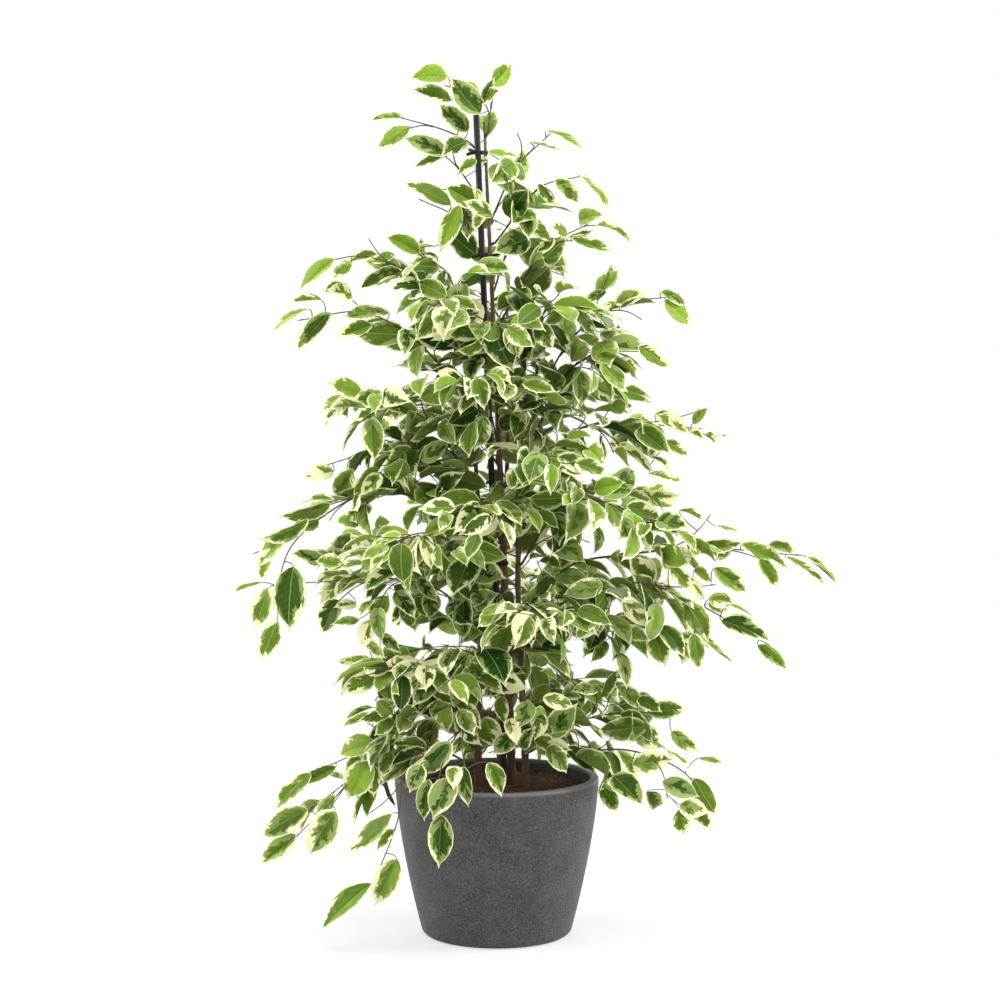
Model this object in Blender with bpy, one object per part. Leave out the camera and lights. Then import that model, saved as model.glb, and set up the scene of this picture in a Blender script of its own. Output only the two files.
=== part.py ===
"""A staked weeping fig with cream-edged leaves, in a turned stone-grey pot.

Metres, +Z up. The origin is the middle of the pot's flat underside, on the surface that the pot stands on,
and the plant's front is -Y. The pot and the soil are turned solids. The stems stand in pockets in the soil
beside a stake, and three ties hold the main stem to it. Each leafy branch is one grown piece: its twigs are
extruded from the face that meets the stem, and its leaves are extruded from the twigs' faces.
"""

import math
import random
from collections import namedtuple

import bmesh
import bpy
from mathutils import Vector
from mathutils.bvhtree import BVHTree

GAP = 0.0003  # kept between pieces that touch
SEAT_GAP = 0.0005  # kept between a branch's foot and its stem, which aren't quite parallel

# The pot: its walls swell outwards from a rounded foot to a thick rounded rim
POT_HEIGHT = 0.198
RIM_RADIUS = 0.1265
FOOT_RADIUS = 0.0915
POT_SWELL = 1.5  # the power that the wall's outline follows, 1 for a straight cone
WALL = 0.011
POT_FLOOR = 0.014
FOOT_ROUND = 0.011
RIM_ROUND = 0.0045
POT_SEGMENTS = 48
OUTER_STEPS = 6
INNER_STEPS = 4
ROUND_STEPS = 3

# The soil: filled to a little under the rim and slightly heaped in the middle
SOIL_EDGE = 0.180
SOIL_HEAP = 0.005
SOIL_LUMPS = 0.0012
STEM_DEPTH = 0.030  # how far the stems go into the soil
STAKE_DEPTH = 0.120

# The stake and the ties on it
STAKE_RADIUS = 0.004
STAKE_FOOT = Vector((0.010, 0.0, SOIL_EDGE))
STAKE_TOP = Vector((-0.025, 0.0, 1.012))
TIE_THICKNESS = 0.0011
TIE_WIDTH = 0.0045
TIE_CLEARANCE = 0.0004
TIE_CORNERS = 6  # on each of its two round ends
TAIL_STEPS = ((0.35, 0.0013), (1.0, 0.0008))  # share of a tail's length, half its thickness there
TIES = (  # height, and each tail from its root to its tip
    (0.964, ((-0.019, -0.004, -0.003), (-0.014, -0.006, 0.003))),
    (0.840, ((0.020, -0.002, 0.003), (-0.009, -0.003, -0.003))),
    (0.461, ((0.006, -0.016, 0.004), (-0.012, -0.010, -0.004))),
)

# Wood: radii of the thick and thin ends
STEM_SIDES = 7
STEM_STEP = 0.045
TWIG_SIDES = 4
TWIG_FOOT_RADIUS = 0.00135  # of a very short branch
TWIG_THICKENING = 0.00216  # how much thicker the foot is for each metre of the branch's length
TWIG_TIP_RADIUS = 0.0008
TWIG_STEP = 0.048
COLLAR_REACH = 0.003  # the branch's first stretch, square to the stem
COLLAR_RISE = 0.001
BUD_LENGTH = 0.003  # the short stretch of twig that a leaf stalk or side twig grows from
BUD_SPACING = 0.054
BUD_ROOM = 0.012  # between a leaf's bud and a side twig's
TWIN_ROOM = 0.008  # between two side twigs
BARE_SHARE = 0.38  # of a branch's length, next to the stem
BARE_LENGTH = 0.045  # the least bare length
SIDE_BEND = 0.45  # how far a side twig runs on along its branch before it turns, as a share of its length
SIDE_ROOT = 0.1  # share of a side twig's first stretch that lies inside the branch
SIDE_FOOT_RADIUS = 0.0012
SIDE_BUD = 0.55  # where the one leaf on a side twig grows
BUDLESS_LENGTH = 0.05  # of a side twig that has a leaf at its tip only

# Leaves
LEAF_LENGTH = 0.062
LEAF_WIDTH = 0.035
LEAF_THICKNESS = 0.0012
LEAF_FOLD = 0.30  # rise of the leaf's edges over its midrib, as a share of the half width
LEAF_ARCH = 0.22  # fall of the tip, as a share of the length
LEAF_STATIONS = ((0.36, 1.0), (0.72, 0.66))  # share of the length, share of the width
LEAF_SIZES = (0.85, 1.12)  # smallest and largest, as shares of the length and width above
STALK_LENGTH = 0.011
STALK_RADIUS = 0.0009
TIP_STALK_LENGTH = 0.004  # of the leaf that ends a twig
LEAF_TRIES = 16
LEAF_CLEARANCE = 0.0008

# How a leaf points, as weights of the directions that are added up
ALONG_TWIG = 0.35
OUTWARDS = 0.35
SIDEWAYS = 0.75
DROOP = 0.75
SCATTER = 0.35  # how much the sideways, drooping and tilting weights vary from leaf to leaf
SCATTER_GROWTH = 0.12  # how much more they vary with each try
FACE_UP = 0.9  # the upper face looks up and outwards
STALK_ALONG = 0.5
STALK_SIDEWAYS = 0.9
STALK_RISE = 0.25

Stem = namedtuple("Stem", "radius tip_radius route")
Bough = namedtuple("Bough", "stem height route side_twigs")

# Each stem's route, from the soil's surface up
STEMS = (
    Stem(0.0055, 0.0016, ((0.019, 0.007, 0.180), (0.013, 0.007, 0.356), (0.005, 0.007, 0.556),
                          (-0.004, 0.007, 0.756), (-0.012, 0.006, 0.926), (-0.015, 0.004, 1.001))),
    Stem(0.0046, 0.0016, ((0.037, -0.012, 0.180), (0.030, -0.010, 0.336), (0.026, -0.006, 0.456),
                          (0.034, 0.0, 0.556), (0.045, 0.004, 0.646), (0.054, 0.006, 0.766))),
    Stem(0.0046, 0.0016, ((-0.024, -0.010, 0.180), (-0.021, -0.008, 0.336), (-0.019, -0.006, 0.456),
                          (-0.026, 0.0, 0.586), (-0.034, 0.002, 0.686), (-0.037, 0.0, 0.766))),
    Stem(0.0046, 0.0016, ((0.004, 0.036, 0.180), (0.006, 0.038, 0.356), (0.012, 0.042, 0.556),
                          (0.016, 0.050, 0.686), (0.012, 0.056, 0.786))),
)

# Each leafy branch: the stem that it grows from (0 is the main stem), its height there, the points that it
# passes through, and its side twigs, each the share of the branch where it leaves and the point where it ends
BOUGHS = (
    # crown
    Bough(0, 0.984, ((-0.008, -0.006, 1.010), (-0.004, 0.002, 1.032)),
          ((0.45, (-0.056, -0.012, 1.042)), (0.70, (-0.030, 0.030, 1.036)))),
    Bough(0, 0.951, ((-0.030, 0.013, 0.974), (-0.064, 0.000, 0.991), (-0.112, -0.014, 1.004)),
          ((0.70, (-0.106, -0.012, 0.992)),)),
    Bough(0, 0.896, ((-0.030, 0.013, 0.921), (-0.050, -0.010, 0.948), (-0.075, -0.030, 0.968)),
          ((0.60, (-0.045, -0.036, 0.991)),)),
    Bough(0, 0.886, ((0.022, 0.004, 0.944), (0.060, 0.005, 0.982)),
          ((0.75, (0.045, -0.022, 0.971)),)),
    Bough(0, 0.852, ((0.016, 0.000, 0.878), (0.052, -0.018, 0.921), (0.100, -0.024, 0.934)),
          ((0.45, (0.012, -0.050, 0.931)), (0.60, (0.070, 0.022, 0.911)))),
    Bough(0, 0.824, ((-0.028, 0.015, 0.856), (-0.050, -0.012, 0.886), (-0.088, -0.036, 0.904)),
          ((0.50, (-0.034, -0.060, 0.868)),)),
    Bough(0, 0.796, ((0.016, 0.050, 0.856), (0.030, 0.085, 0.878)),
          ((0.60, (-0.030, 0.070, 0.876)),)),
    Bough(0, 0.751, ((0.030, -0.002, 0.806), (0.062, -0.008, 0.851), (0.105, -0.020, 0.874)),
          ((0.45, (0.072, -0.010, 0.818)), (0.60, (0.100, -0.045, 0.856)))),
    Bough(0, 0.741, ((-0.028, 0.016, 0.768), (-0.105, -0.014, 0.818), (-0.160, -0.032, 0.838),
                     (-0.205, -0.045, 0.832)),
          ((0.48, (-0.130, -0.060, 0.808)), (0.65, (-0.152, -0.015, 0.854)))),
    # upper left
    Bough(2, 0.696, ((-0.046, -0.022, 0.776), (-0.060, -0.030, 0.818), (-0.090, -0.035, 0.838)),
          ((0.45, (-0.085, -0.055, 0.798)), (0.60, (-0.026, -0.052, 0.824)))),
    Bough(2, 0.656, ((-0.070, -0.010, 0.706), (-0.110, -0.020, 0.746), (-0.165, -0.035, 0.771),
                     (-0.232, -0.048, 0.762)),
          ((0.50, (-0.160, -0.058, 0.744)), (0.65, (-0.185, -0.018, 0.796)))),
    Bough(2, 0.556, ((-0.070, -0.022, 0.624), (-0.115, -0.036, 0.656), (-0.175, -0.050, 0.672)),
          ((0.45, (-0.085, -0.092, 0.691)), (0.65, (-0.160, -0.080, 0.642)))),
    Bough(2, 0.516, ((-0.070, 0.006, 0.586), (-0.120, 0.004, 0.608), (-0.205, 0.002, 0.584)),
          ((0.45, (-0.140, -0.050, 0.578)), (0.55, (-0.145, 0.060, 0.610)))),
    # upper right
    Bough(1, 0.661, ((0.078, 0.012, 0.718), (0.112, 0.012, 0.756), (0.160, 0.002, 0.782),
                     (0.205, -0.010, 0.788)),
          ((0.45, (0.130, 0.034, 0.796)), (0.62, (0.172, -0.034, 0.764)))),
    Bough(1, 0.616, ((0.080, -0.020, 0.690), (0.120, -0.040, 0.720), (0.185, -0.050, 0.724)),
          ((0.45, (0.130, -0.080, 0.690)), (0.60, (0.150, -0.005, 0.740)))),
    Bough(1, 0.546, ((0.085, 0.010, 0.616), (0.140, 0.012, 0.634), (0.245, 0.002, 0.628)),
          ((0.42, (0.140, -0.045, 0.604)), (0.60, (0.202, -0.034, 0.606)), (0.68, (0.245, 0.036, 0.646)))),
    # middle left
    Bough(2, 0.466, ((-0.080, -0.020, 0.536), (-0.150, -0.040, 0.552), (-0.205, -0.055, 0.528),
                     (-0.250, -0.060, 0.486), (-0.268, -0.060, 0.426)),
          ((0.52, (-0.232, -0.092, 0.532)), (0.66, (-0.290, -0.040, 0.480)))),
    Bough(2, 0.371, ((-0.060, -0.020, 0.424), (-0.120, -0.036, 0.446), (-0.235, -0.050, 0.443)),
          ((0.45, (-0.140, -0.100, 0.421)), (0.60, (-0.200, -0.085, 0.411)))),
    # middle right
    Bough(1, 0.461, ((0.070, -0.044, 0.526), (0.120, -0.076, 0.546), (0.210, -0.100, 0.511)),
          ((0.40, (0.090, -0.130, 0.551)), (0.60, (0.160, -0.142, 0.516)))),
    Bough(1, 0.401, ((0.090, 0.002, 0.458), (0.170, 0.006, 0.473), (0.250, 0.002, 0.481),
                     (0.365, 0.000, 0.472)),
          ((0.42, (0.200, -0.044, 0.481)), (0.55, (0.262, 0.034, 0.514)), (0.72, (0.328, -0.034, 0.468)))),
    Bough(1, 0.351, ((0.080, -0.036, 0.416), (0.160, -0.056, 0.444), (0.230, -0.066, 0.426),
                     (0.325, -0.070, 0.372)),
          ((0.38, (0.130, -0.115, 0.411)), (0.55, (0.262, -0.030, 0.438)), (0.62, (0.236, -0.112, 0.394)))),
    # front, from the crown down
    Bough(0, 0.686, ((-0.004, -0.050, 0.748), (-0.036, -0.094, 0.772), (-0.076, -0.120, 0.780)),
          ((0.50, (0.010, -0.110, 0.754)),)),
    Bough(1, 0.696, ((0.056, -0.045, 0.768), (0.072, -0.088, 0.790)),
          ((0.50, (0.030, -0.082, 0.754)), (0.55, (0.102, -0.055, 0.772)))),
    Bough(0, 0.606, ((-0.010, -0.050, 0.662), (-0.020, -0.100, 0.690), (-0.042, -0.138, 0.690)),
          ((0.50, (0.024, -0.102, 0.686)),)),
    Bough(1, 0.516, ((0.045, -0.052, 0.584), (0.056, -0.110, 0.608), (0.062, -0.155, 0.596)),
          ((0.50, (0.104, -0.094, 0.608)), (0.52, (0.014, -0.102, 0.608)))),
    Bough(0, 0.466, ((-0.004, -0.060, 0.528), (-0.010, -0.125, 0.548), (0.004, -0.175, 0.532)),
          ((0.50, (0.042, -0.122, 0.536)), (0.55, (-0.052, -0.150, 0.536)))),
    Bough(2, 0.426, ((-0.050, -0.072, 0.491), (-0.090, -0.128, 0.511), (-0.122, -0.168, 0.500)),
          ((0.50, (-0.050, -0.148, 0.494)), (0.60, (-0.142, -0.122, 0.492)))),
    Bough(0, 0.336, ((0.028, -0.062, 0.394), (0.045, -0.122, 0.421), (0.056, -0.168, 0.414)),
          ((0.52, (0.092, -0.124, 0.418)), (0.55, (0.008, -0.138, 0.424)))),
    Bough(2, 0.301, ((-0.022, -0.068, 0.356), (-0.030, -0.128, 0.376), (-0.036, -0.168, 0.364)),
          ((0.50, (0.012, -0.112, 0.356)), (0.55, (-0.078, -0.122, 0.374)))),
    # low left, hanging past the rim
    Bough(2, 0.261, ((-0.062, -0.052, 0.328), (-0.115, -0.072, 0.342), (-0.165, -0.076, 0.332)),
          ((0.45, (-0.058, -0.122, 0.334)), (0.60, (-0.142, -0.104, 0.312)))),
    Bough(2, 0.234, ((-0.070, -0.030, 0.286), (-0.130, -0.044, 0.262), (-0.188, -0.050, 0.190),
                     (-0.242, -0.052, 0.134)),
          ((0.45, (-0.222, -0.072, 0.216)), (0.60, (-0.205, -0.086, 0.168)))),
    Bough(2, 0.210, ((-0.070, -0.060, 0.238), (-0.110, -0.086, 0.218), (-0.120, -0.096, 0.158),
                     (-0.146, -0.100, 0.090)),
          ((0.50, (-0.148, -0.092, 0.172)),)),
    Bough(0, 0.266, ((-0.020, -0.070, 0.288), (-0.058, -0.126, 0.252), (-0.076, -0.156, 0.188)),
          ((0.45, (-0.034, -0.150, 0.224)), (0.50, (-0.096, -0.130, 0.230)))),
    # low right and low front
    Bough(1, 0.244, ((0.046, -0.052, 0.258), (0.078, -0.090, 0.234)),
          ((0.40, (-0.004, -0.084, 0.242)), (0.55, (0.030, -0.098, 0.268)))),
    Bough(1, 0.228, ((0.100, 0.000, 0.264), (0.160, 0.002, 0.276), (0.215, -0.010, 0.276)),
          ((0.40, (0.122, -0.034, 0.308)), (0.60, (0.190, -0.050, 0.252)))),
    Bough(1, 0.204, ((0.095, -0.036, 0.230), (0.160, -0.052, 0.238), (0.225, -0.056, 0.214),
                     (0.258, -0.056, 0.170)),
          ((0.36, (0.140, -0.094, 0.214)), (0.58, (0.205, -0.096, 0.192)))),
    Bough(3, 0.316, ((0.070, 0.060, 0.368), (0.130, 0.060, 0.384), (0.235, 0.040, 0.366)),
          ((0.45, (0.150, 0.020, 0.352)), (0.50, (0.135, 0.115, 0.378)))),
    # back, from the crown down
    Bough(3, 0.706, ((0.002, 0.092, 0.764), (-0.020, 0.140, 0.790)),
          ((0.50, (0.044, 0.120, 0.786)), (0.55, (-0.064, 0.100, 0.776)))),
    Bough(3, 0.586, ((0.058, 0.100, 0.646), (0.100, 0.150, 0.672), (0.130, 0.188, 0.661)),
          ((0.50, (0.050, 0.160, 0.666)), (0.60, (0.150, 0.130, 0.670)))),
    Bough(3, 0.566, ((-0.030, 0.100, 0.624), (-0.072, 0.155, 0.651), (-0.104, 0.200, 0.640)),
          ((0.50, (-0.020, 0.162, 0.646)), (0.60, (-0.130, 0.140, 0.646)))),
    Bough(3, 0.476, ((0.070, 0.092, 0.526), (0.130, 0.140, 0.546), (0.185, 0.180, 0.526)),
          ((0.50, (0.100, 0.180, 0.536)), (0.60, (0.190, 0.120, 0.536)))),
    Bough(3, 0.446, ((-0.016, 0.110, 0.506), (-0.040, 0.180, 0.531), (-0.052, 0.245, 0.511)),
          ((0.50, (0.020, 0.190, 0.526)), (0.60, (-0.095, 0.205, 0.516)))),
    Bough(3, 0.406, ((-0.070, 0.080, 0.456), (-0.140, 0.128, 0.476), (-0.195, 0.160, 0.456)),
          ((0.50, (-0.120, 0.175, 0.466)), (0.60, (-0.205, 0.100, 0.461)))),
    Bough(3, 0.356, ((0.030, 0.110, 0.406), (0.050, 0.180, 0.426), (0.062, 0.245, 0.406)),
          ((0.50, (0.005, 0.190, 0.418)), (0.60, (0.110, 0.200, 0.411)))),
    Bough(3, 0.286, ((-0.052, 0.098, 0.331), (-0.104, 0.155, 0.334), (-0.145, 0.198, 0.302)),
          ((0.50, (-0.050, 0.175, 0.324)), (0.55, (-0.165, 0.120, 0.316)))),
    Bough(3, 0.256, ((0.060, 0.100, 0.296), (0.112, 0.150, 0.292), (0.145, 0.190, 0.246)),
          ((0.50, (0.070, 0.180, 0.276)), (0.55, (0.170, 0.120, 0.274)))),
    Bough(3, 0.231, ((-0.060, 0.072, 0.262), (-0.130, 0.072, 0.228), (-0.190, 0.060, 0.178),
                     (-0.230, 0.052, 0.148)),
          ((0.50, (-0.160, 0.020, 0.176)), (0.50, (-0.135, 0.125, 0.216)))),
    Bough(3, 0.211, ((0.000, 0.110, 0.252), (0.000, 0.160, 0.240), (0.002, 0.180, 0.186)),
          ((0.50, (0.050, 0.160, 0.211)), (0.55, (-0.045, 0.160, 0.211)))),
)


def clear_scene():
    for obj in list(bpy.data.objects):
        bpy.data.objects.remove(obj, do_unlink=True)


def finish(name, colour, roughness):
    """A plain material of one colour."""
    material = bpy.data.materials.new(name)
    material.use_nodes = True
    shader = material.node_tree.nodes["Principled BSDF"]
    shader.inputs["Base Color"].default_value = (*colour, 1.0)
    shader.inputs["Roughness"].default_value = roughness
    return material


def add_object(name, bm, material, smooth_angle=None):
    """Puts a bmesh into the scene as an object, with its faces pointing out."""
    bmesh.ops.recalc_face_normals(bm, faces=bm.faces)
    mesh = bpy.data.meshes.new(name)
    bm.to_mesh(mesh)
    bm.free()
    mesh.materials.append(material)
    if smooth_angle is not None:
        mesh.shade_smooth()
        mesh.set_sharp_from_angle(angle=math.radians(smooth_angle))
    obj = bpy.data.objects.new(name, mesh)
    bpy.context.scene.collection.objects.link(obj)
    return obj


# --- Turned pieces ---------------------------------------------------------------------------------------


def outer_radius(height):
    """The pot's outer radius: it grows quickly at the foot and slowly at the rim."""
    return FOOT_RADIUS + (RIM_RADIUS - FOOT_RADIUS) * (1 - (1 - height / POT_HEIGHT) ** POT_SWELL)


def arc(centre, radius, start, end, steps):
    """Points (radius, height) on an arc, its angles in degrees from the radial direction."""
    angles = [math.radians(start + (end - start) * i / steps) for i in range(steps + 1)]
    return [(centre[0] + radius * math.cos(a), centre[1] + radius * math.sin(a)) for a in angles]


def inner_wall(top, bottom, inset):
    """Points down the pot's inner wall, or along a fill that lies inside it by the inset."""
    heights = [top + (bottom - top) * i / INNER_STEPS for i in range(INNER_STEPS + 1)]
    return [(outer_radius(z) - WALL - inset, z) for z in heights]


def turn(outline):
    """Spins an outline that starts and ends on the axis into a closed solid."""
    bm = bmesh.new()
    verts = [bm.verts.new((r, 0.0, z)) for r, z in outline]
    edges = [bm.edges.new(pair) for pair in zip(verts, verts[1:])]
    bmesh.ops.spin(bm, geom=verts + edges, axis=(0, 0, 1), cent=(0, 0, 0), steps=POT_SEGMENTS, angle=2 * math.pi)
    bmesh.ops.remove_doubles(bm, verts=bm.verts, dist=1e-6)
    return bm


def make_pot(material):
    slope = math.degrees(math.atan(POT_SWELL * (RIM_RADIUS - FOOT_RADIUS) / POT_HEIGHT))
    foot_end = FOOT_ROUND * (1 - math.sin(math.radians(slope)))
    foot_centre = (outer_radius(foot_end) - FOOT_ROUND * math.cos(math.radians(slope)), FOOT_ROUND)
    foot = arc(foot_centre, FOOT_ROUND, -90, -slope, ROUND_STEPS)
    rim_start = POT_HEIGHT - RIM_ROUND
    wall_heights = [foot_end + (rim_start - foot_end) * i / OUTER_STEPS for i in range(1, OUTER_STEPS)]
    wall = [(outer_radius(z), z) for z in wall_heights]
    outer_round = arc((RIM_RADIUS - RIM_ROUND, rim_start), RIM_ROUND, 0, 90, ROUND_STEPS)
    inner_round = arc((RIM_RADIUS - WALL + RIM_ROUND, rim_start), RIM_ROUND, 90, 180, ROUND_STEPS)
    inside = inner_wall(SOIL_EDGE, POT_FLOOR, 0.0)
    outline = [(0.0, 0.0), *foot, *wall, *outer_round, *inner_round, *inside, (0.0, POT_FLOOR)]
    return add_object("pot", turn(outline), material, smooth_angle=35)


def make_soil(material, pockets):
    """The fill of the pot, its top heaped and a little lumpy, with a pocket for each stem and the stake."""
    edge = outer_radius(SOIL_EDGE) - WALL - GAP
    heap = [(edge * share, SOIL_EDGE + SOIL_HEAP * (1 - share ** 2)) for share in (0.0, 0.3, 0.55, 0.78)]
    side = inner_wall(SOIL_EDGE, POT_FLOOR + GAP, GAP)
    bm = turn([*heap, *side, (0.0, POT_FLOOR + GAP)])
    lumps = random.Random(4)
    for vert in bm.verts:
        if vert.co.z > SOIL_EDGE + GAP:
            vert.co.z += lumps.uniform(-SOIL_LUMPS, SOIL_LUMPS)
    soil = add_object("potting_soil", bm, material)
    for pocket in pockets:
        cut = soil.modifiers.new(pocket.name, "BOOLEAN")
        cut.operation = "DIFFERENCE"
        cut.object = pocket
    return soil


# --- Wood ------------------------------------------------------------------------------------------------


def smooth_route(points, step):
    """Points about a step apart on a Catmull-Rom curve that passes through the given points."""
    points = [Vector(p) for p in points]
    knots = [2 * points[0] - points[1], *points, 2 * points[-1] - points[-2]]
    route = []
    for a, b, c, d in zip(knots, knots[1:], knots[2:], knots[3:]):
        count = max(1, round((c - b).length / step))
        for i in range(count):
            t = i / count
            route.append(0.5 * (2 * b + (c - a) * t + (2 * a - 5 * b + 4 * c - d) * t ** 2
                                + (3 * b - 3 * c + d - a) * t ** 3))
    return [*route, points[-1]]


def route_length(route):
    return sum((b - a).length for a, b in zip(route, route[1:]))


def at_share(route, share):
    """The point and the direction at a share of a route's length."""
    left = share * route_length(route)
    for a, b in zip(route, route[1:]):
        length = (b - a).length
        if left <= length or b is route[-1]:
            break
        left -= length
    return a.lerp(b, min(left / length, 1.0)), (b - a).normalized()


def ring(centre, direction, across, radius, sides):
    """The corners of a regular polygon square to a direction, the first one half a side from `across`."""
    right = (across - across.project(direction)).normalized()
    up = direction.cross(right)
    angles = [2 * math.pi * (i + 0.5) / sides for i in range(sides)]
    return [centre + radius * (math.cos(a) * right + math.sin(a) * up) for a in angles]


def start_solid(bm, first, second):
    """Closes two rings of corners into a short prism and returns its far face."""
    rings = [[bm.verts.new(corner) for corner in corners] for corners in (first, second)]
    bm.faces.new(rings[0][::-1])
    for i in range(len(first)):
        j = (i + 1) % len(first)
        bm.faces.new((rings[0][i], rings[0][j], rings[1][j], rings[1][i]))
    return bm.faces.new(rings[1])


def grow(bm, face, corners):
    """Extrudes a face and puts its corners on the given ones, turned so that the sides don't twist."""
    end = bmesh.ops.extrude_discrete_faces(bm, faces=[face])["faces"][0]
    verts = [loop.vert for loop in end.loops]
    places = [vert.co.copy() for vert in verts]
    middle = sum(places, Vector()) / len(places)
    target = sum(corners, Vector()) / len(corners)

    def twist(turn_by):
        turned = corners[turn_by:] + corners[:turn_by]
        return sum(((p - middle).normalized() - (c - target).normalized()).length
                   for p, c in zip(places, turned))

    best = min(range(len(corners)), key=twist)
    for vert, corner in zip(verts, corners[best:] + corners[:best]):
        vert.co = corner
    return end


def side_faces(end):
    """The faces round the stretch that ends in a face."""
    return [other for edge in end.edges for other in edge.link_faces if other is not end]


def grow_rod(bm, route, radii, sides, across, face=None):
    """Grows a tapering rod along a route and returns, for each stretch, its end face and side faces."""
    directions = [(b - a).normalized() for a, b in zip(route, route[1:])]
    directions = [directions[0], *[(a + b).normalized() for a, b in zip(directions, directions[1:])],
                  directions[-1]]
    rings = []
    for centre, direction, radius in zip(route, directions, radii):
        rings.append(ring(centre, direction, across, radius, sides))
        across = (across - across.project(direction)).normalized()
    if face is None:
        end = start_solid(bm, rings[0], rings[1])
    else:
        end = grow(bm, face, rings[1])
    stretches = [(end, side_faces(end))]
    for corners in rings[2:]:
        end = grow(bm, end, corners)
        stretches.append((end, side_faces(end)))
    return stretches


def stem_line(stem):
    """The points along a stem, from the soil's surface up, and its radius at each."""
    route = smooth_route(stem.route, STEM_STEP)
    radii = [stem.radius + (stem.tip_radius - stem.radius) * i / (len(route) - 1) for i in range(len(route))]
    return route, radii


def stem_at(stem, height):
    """The middle of a stem, its radius and its direction at a height."""
    route, radii = stem_line(stem)
    i = next(i for i, above in enumerate(route[1:]) if above.z >= height)
    share = (height - route[i].z) / (route[i + 1].z - route[i].z)
    radius = radii[i] + (radii[i + 1] - radii[i]) * share
    return route[i].lerp(route[i + 1], share), radius, (route[i + 1] - route[i]).normalized()


def make_stem(name, stem, material, cutting):
    """A stem from under the soil up, the search tree of its shape, and the cutter for its pocket."""
    route, radii = stem_line(stem)
    heading = (route[1] - route[0]).normalized()
    buried = route[0] - heading * STEM_DEPTH
    bm = bmesh.new()
    grow_rod(bm, [buried, *route], [stem.radius, *radii], STEM_SIDES, Vector((1, 0, 0)))
    tree = BVHTree.FromBMesh(bm)
    pocket = make_pocket(name, buried, route[1], stem.radius, cutting)
    return add_object(name, bm, material, smooth_angle=50), tree, pocket


def make_pocket(name, bottom, top, radius, cutting):
    """A cutter a little larger than what it makes room for."""
    direction = (top - bottom).normalized()
    bm = bmesh.new()
    grow_rod(bm, [bottom - direction * GAP, top], [radius + GAP] * 2, STEM_SIDES, Vector((1, 0, 0)))
    cutter = add_object(name + "_pocket", bm, cutting)
    cutter.hide_render = True
    cutter.display_type = "WIRE"
    return cutter


def make_stake(material, cutting):
    """A straight round stake with a blunt tapered top, its search tree, and the cutter for its pocket."""
    direction = (STAKE_TOP - STAKE_FOOT).normalized()
    foot = STAKE_FOOT - direction * STAKE_DEPTH
    shoulder = STAKE_TOP - direction * STAKE_RADIUS
    bm = bmesh.new()
    grow_rod(bm, [foot, shoulder, STAKE_TOP], [STAKE_RADIUS, STAKE_RADIUS, STAKE_RADIUS / 2],
             STEM_SIDES, Vector((1, 0, 0)))
    tree = BVHTree.FromBMesh(bm)
    pocket = make_pocket("support_stake", foot, STAKE_FOOT + direction * STEM_DEPTH, STAKE_RADIUS, cutting)
    return add_object("support_stake", bm, material, smooth_angle=50), tree, pocket


# --- Ties ------------------------------------------------------------------------------------------------


def make_tie(name, height, tails, material):
    """A strap round the stake and the main stem, with its tails sticking out past the crossing."""
    share = (height - STAKE_FOOT.z) / (STAKE_TOP.z - STAKE_FOOT.z)
    stake = STAKE_FOOT.lerp(STAKE_TOP, share)
    stem, stem_radius, _ = stem_at(STEMS[0], height)
    heading = math.atan2(stem.y - stake.y, stem.x - stake.x)

    def loop(offset, z):
        corners = []
        for centre, radius, start in ((stem, stem_radius, -90), (stake, STAKE_RADIUS, 90)):
            for i in range(TIE_CORNERS):
                angle = heading + math.radians(start + 180 * i / (TIE_CORNERS - 1))
                reach = radius + TIE_CLEARANCE + offset
                corners.append(Vector((centre.x + reach * math.cos(angle), centre.y + reach * math.sin(angle), z)))
        return corners

    low, high = height - TIE_WIDTH / 2, height + TIE_WIDTH / 2
    outlines = [loop(0, low), loop(TIE_THICKNESS, low), loop(TIE_THICKNESS, high), loop(0, high)]
    bm = bmesh.new()
    rings = [[bm.verts.new(corner) for corner in corners] for corners in outlines]
    count = len(rings[0])
    outside = []
    for k, this in enumerate(rings):
        other = rings[(k + 1) % len(rings)]
        for i in range(count):
            j = (i + 1) % count
            face = bm.faces.new((this[i], this[j], other[j], other[i]))
            if k == 1:
                outside.append(face)
    bmesh.ops.recalc_face_normals(bm, faces=bm.faces)
    for tail in tails:
        tail = Vector(tail)
        face = max(outside, key=lambda f: f.normal.dot(tail.normalized()))
        outside.remove(face)
        root = face.calc_center_median()
        for reach, half in TAIL_STEPS:
            corners = ring(root + tail * reach, tail.normalized(), Vector((0, 0, 1)), half * math.sqrt(2), 4)
            face = grow(bm, face, corners)
    tree = BVHTree.FromBMesh(bm)
    return add_object(name, bm, material), tree


# --- Leafy branches --------------------------------------------------------------------------------------


def leaf_rings(base, heading, face_up, length, width, swell=0.0):
    """The leaf's cross sections, each (left edge, midrib top, right edge, midrib under), and its tip."""
    across = heading.cross(face_up).normalized()

    def spine(t):
        return base + length * (t * heading - LEAF_ARCH * t ** 2 * face_up)

    rings = []
    for share, spread in LEAF_STATIONS:
        half = 0.5 * width * spread + swell
        rise = LEAF_FOLD * half * face_up
        thick = (0.5 * LEAF_THICKNESS + swell) * face_up
        middle = spine(share)
        rings.append([middle - half * across + rise, middle + thick, middle + half * across + rise,
                      middle - thick])
    return rings, spine(1.0)


def shell_tree(rings, tip):
    """A search tree of the closed shape through the given rings, ending in a tip."""
    verts = [corner for corners in rings for corner in corners] + [tip]
    faces = [(3, 2, 1, 0)]
    for k in range(len(rings) - 1):
        faces += [(4 * k + i, 4 * k + (i + 1) % 4, 4 * k + 4 + (i + 1) % 4, 4 * k + 4 + i) for i in range(4)]
    last = 4 * (len(rings) - 1)
    faces += [(last + i, last + (i + 1) % 4, len(verts) - 1) for i in range(4)]
    return BVHTree.FromPolygons(verts, faces)


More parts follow.
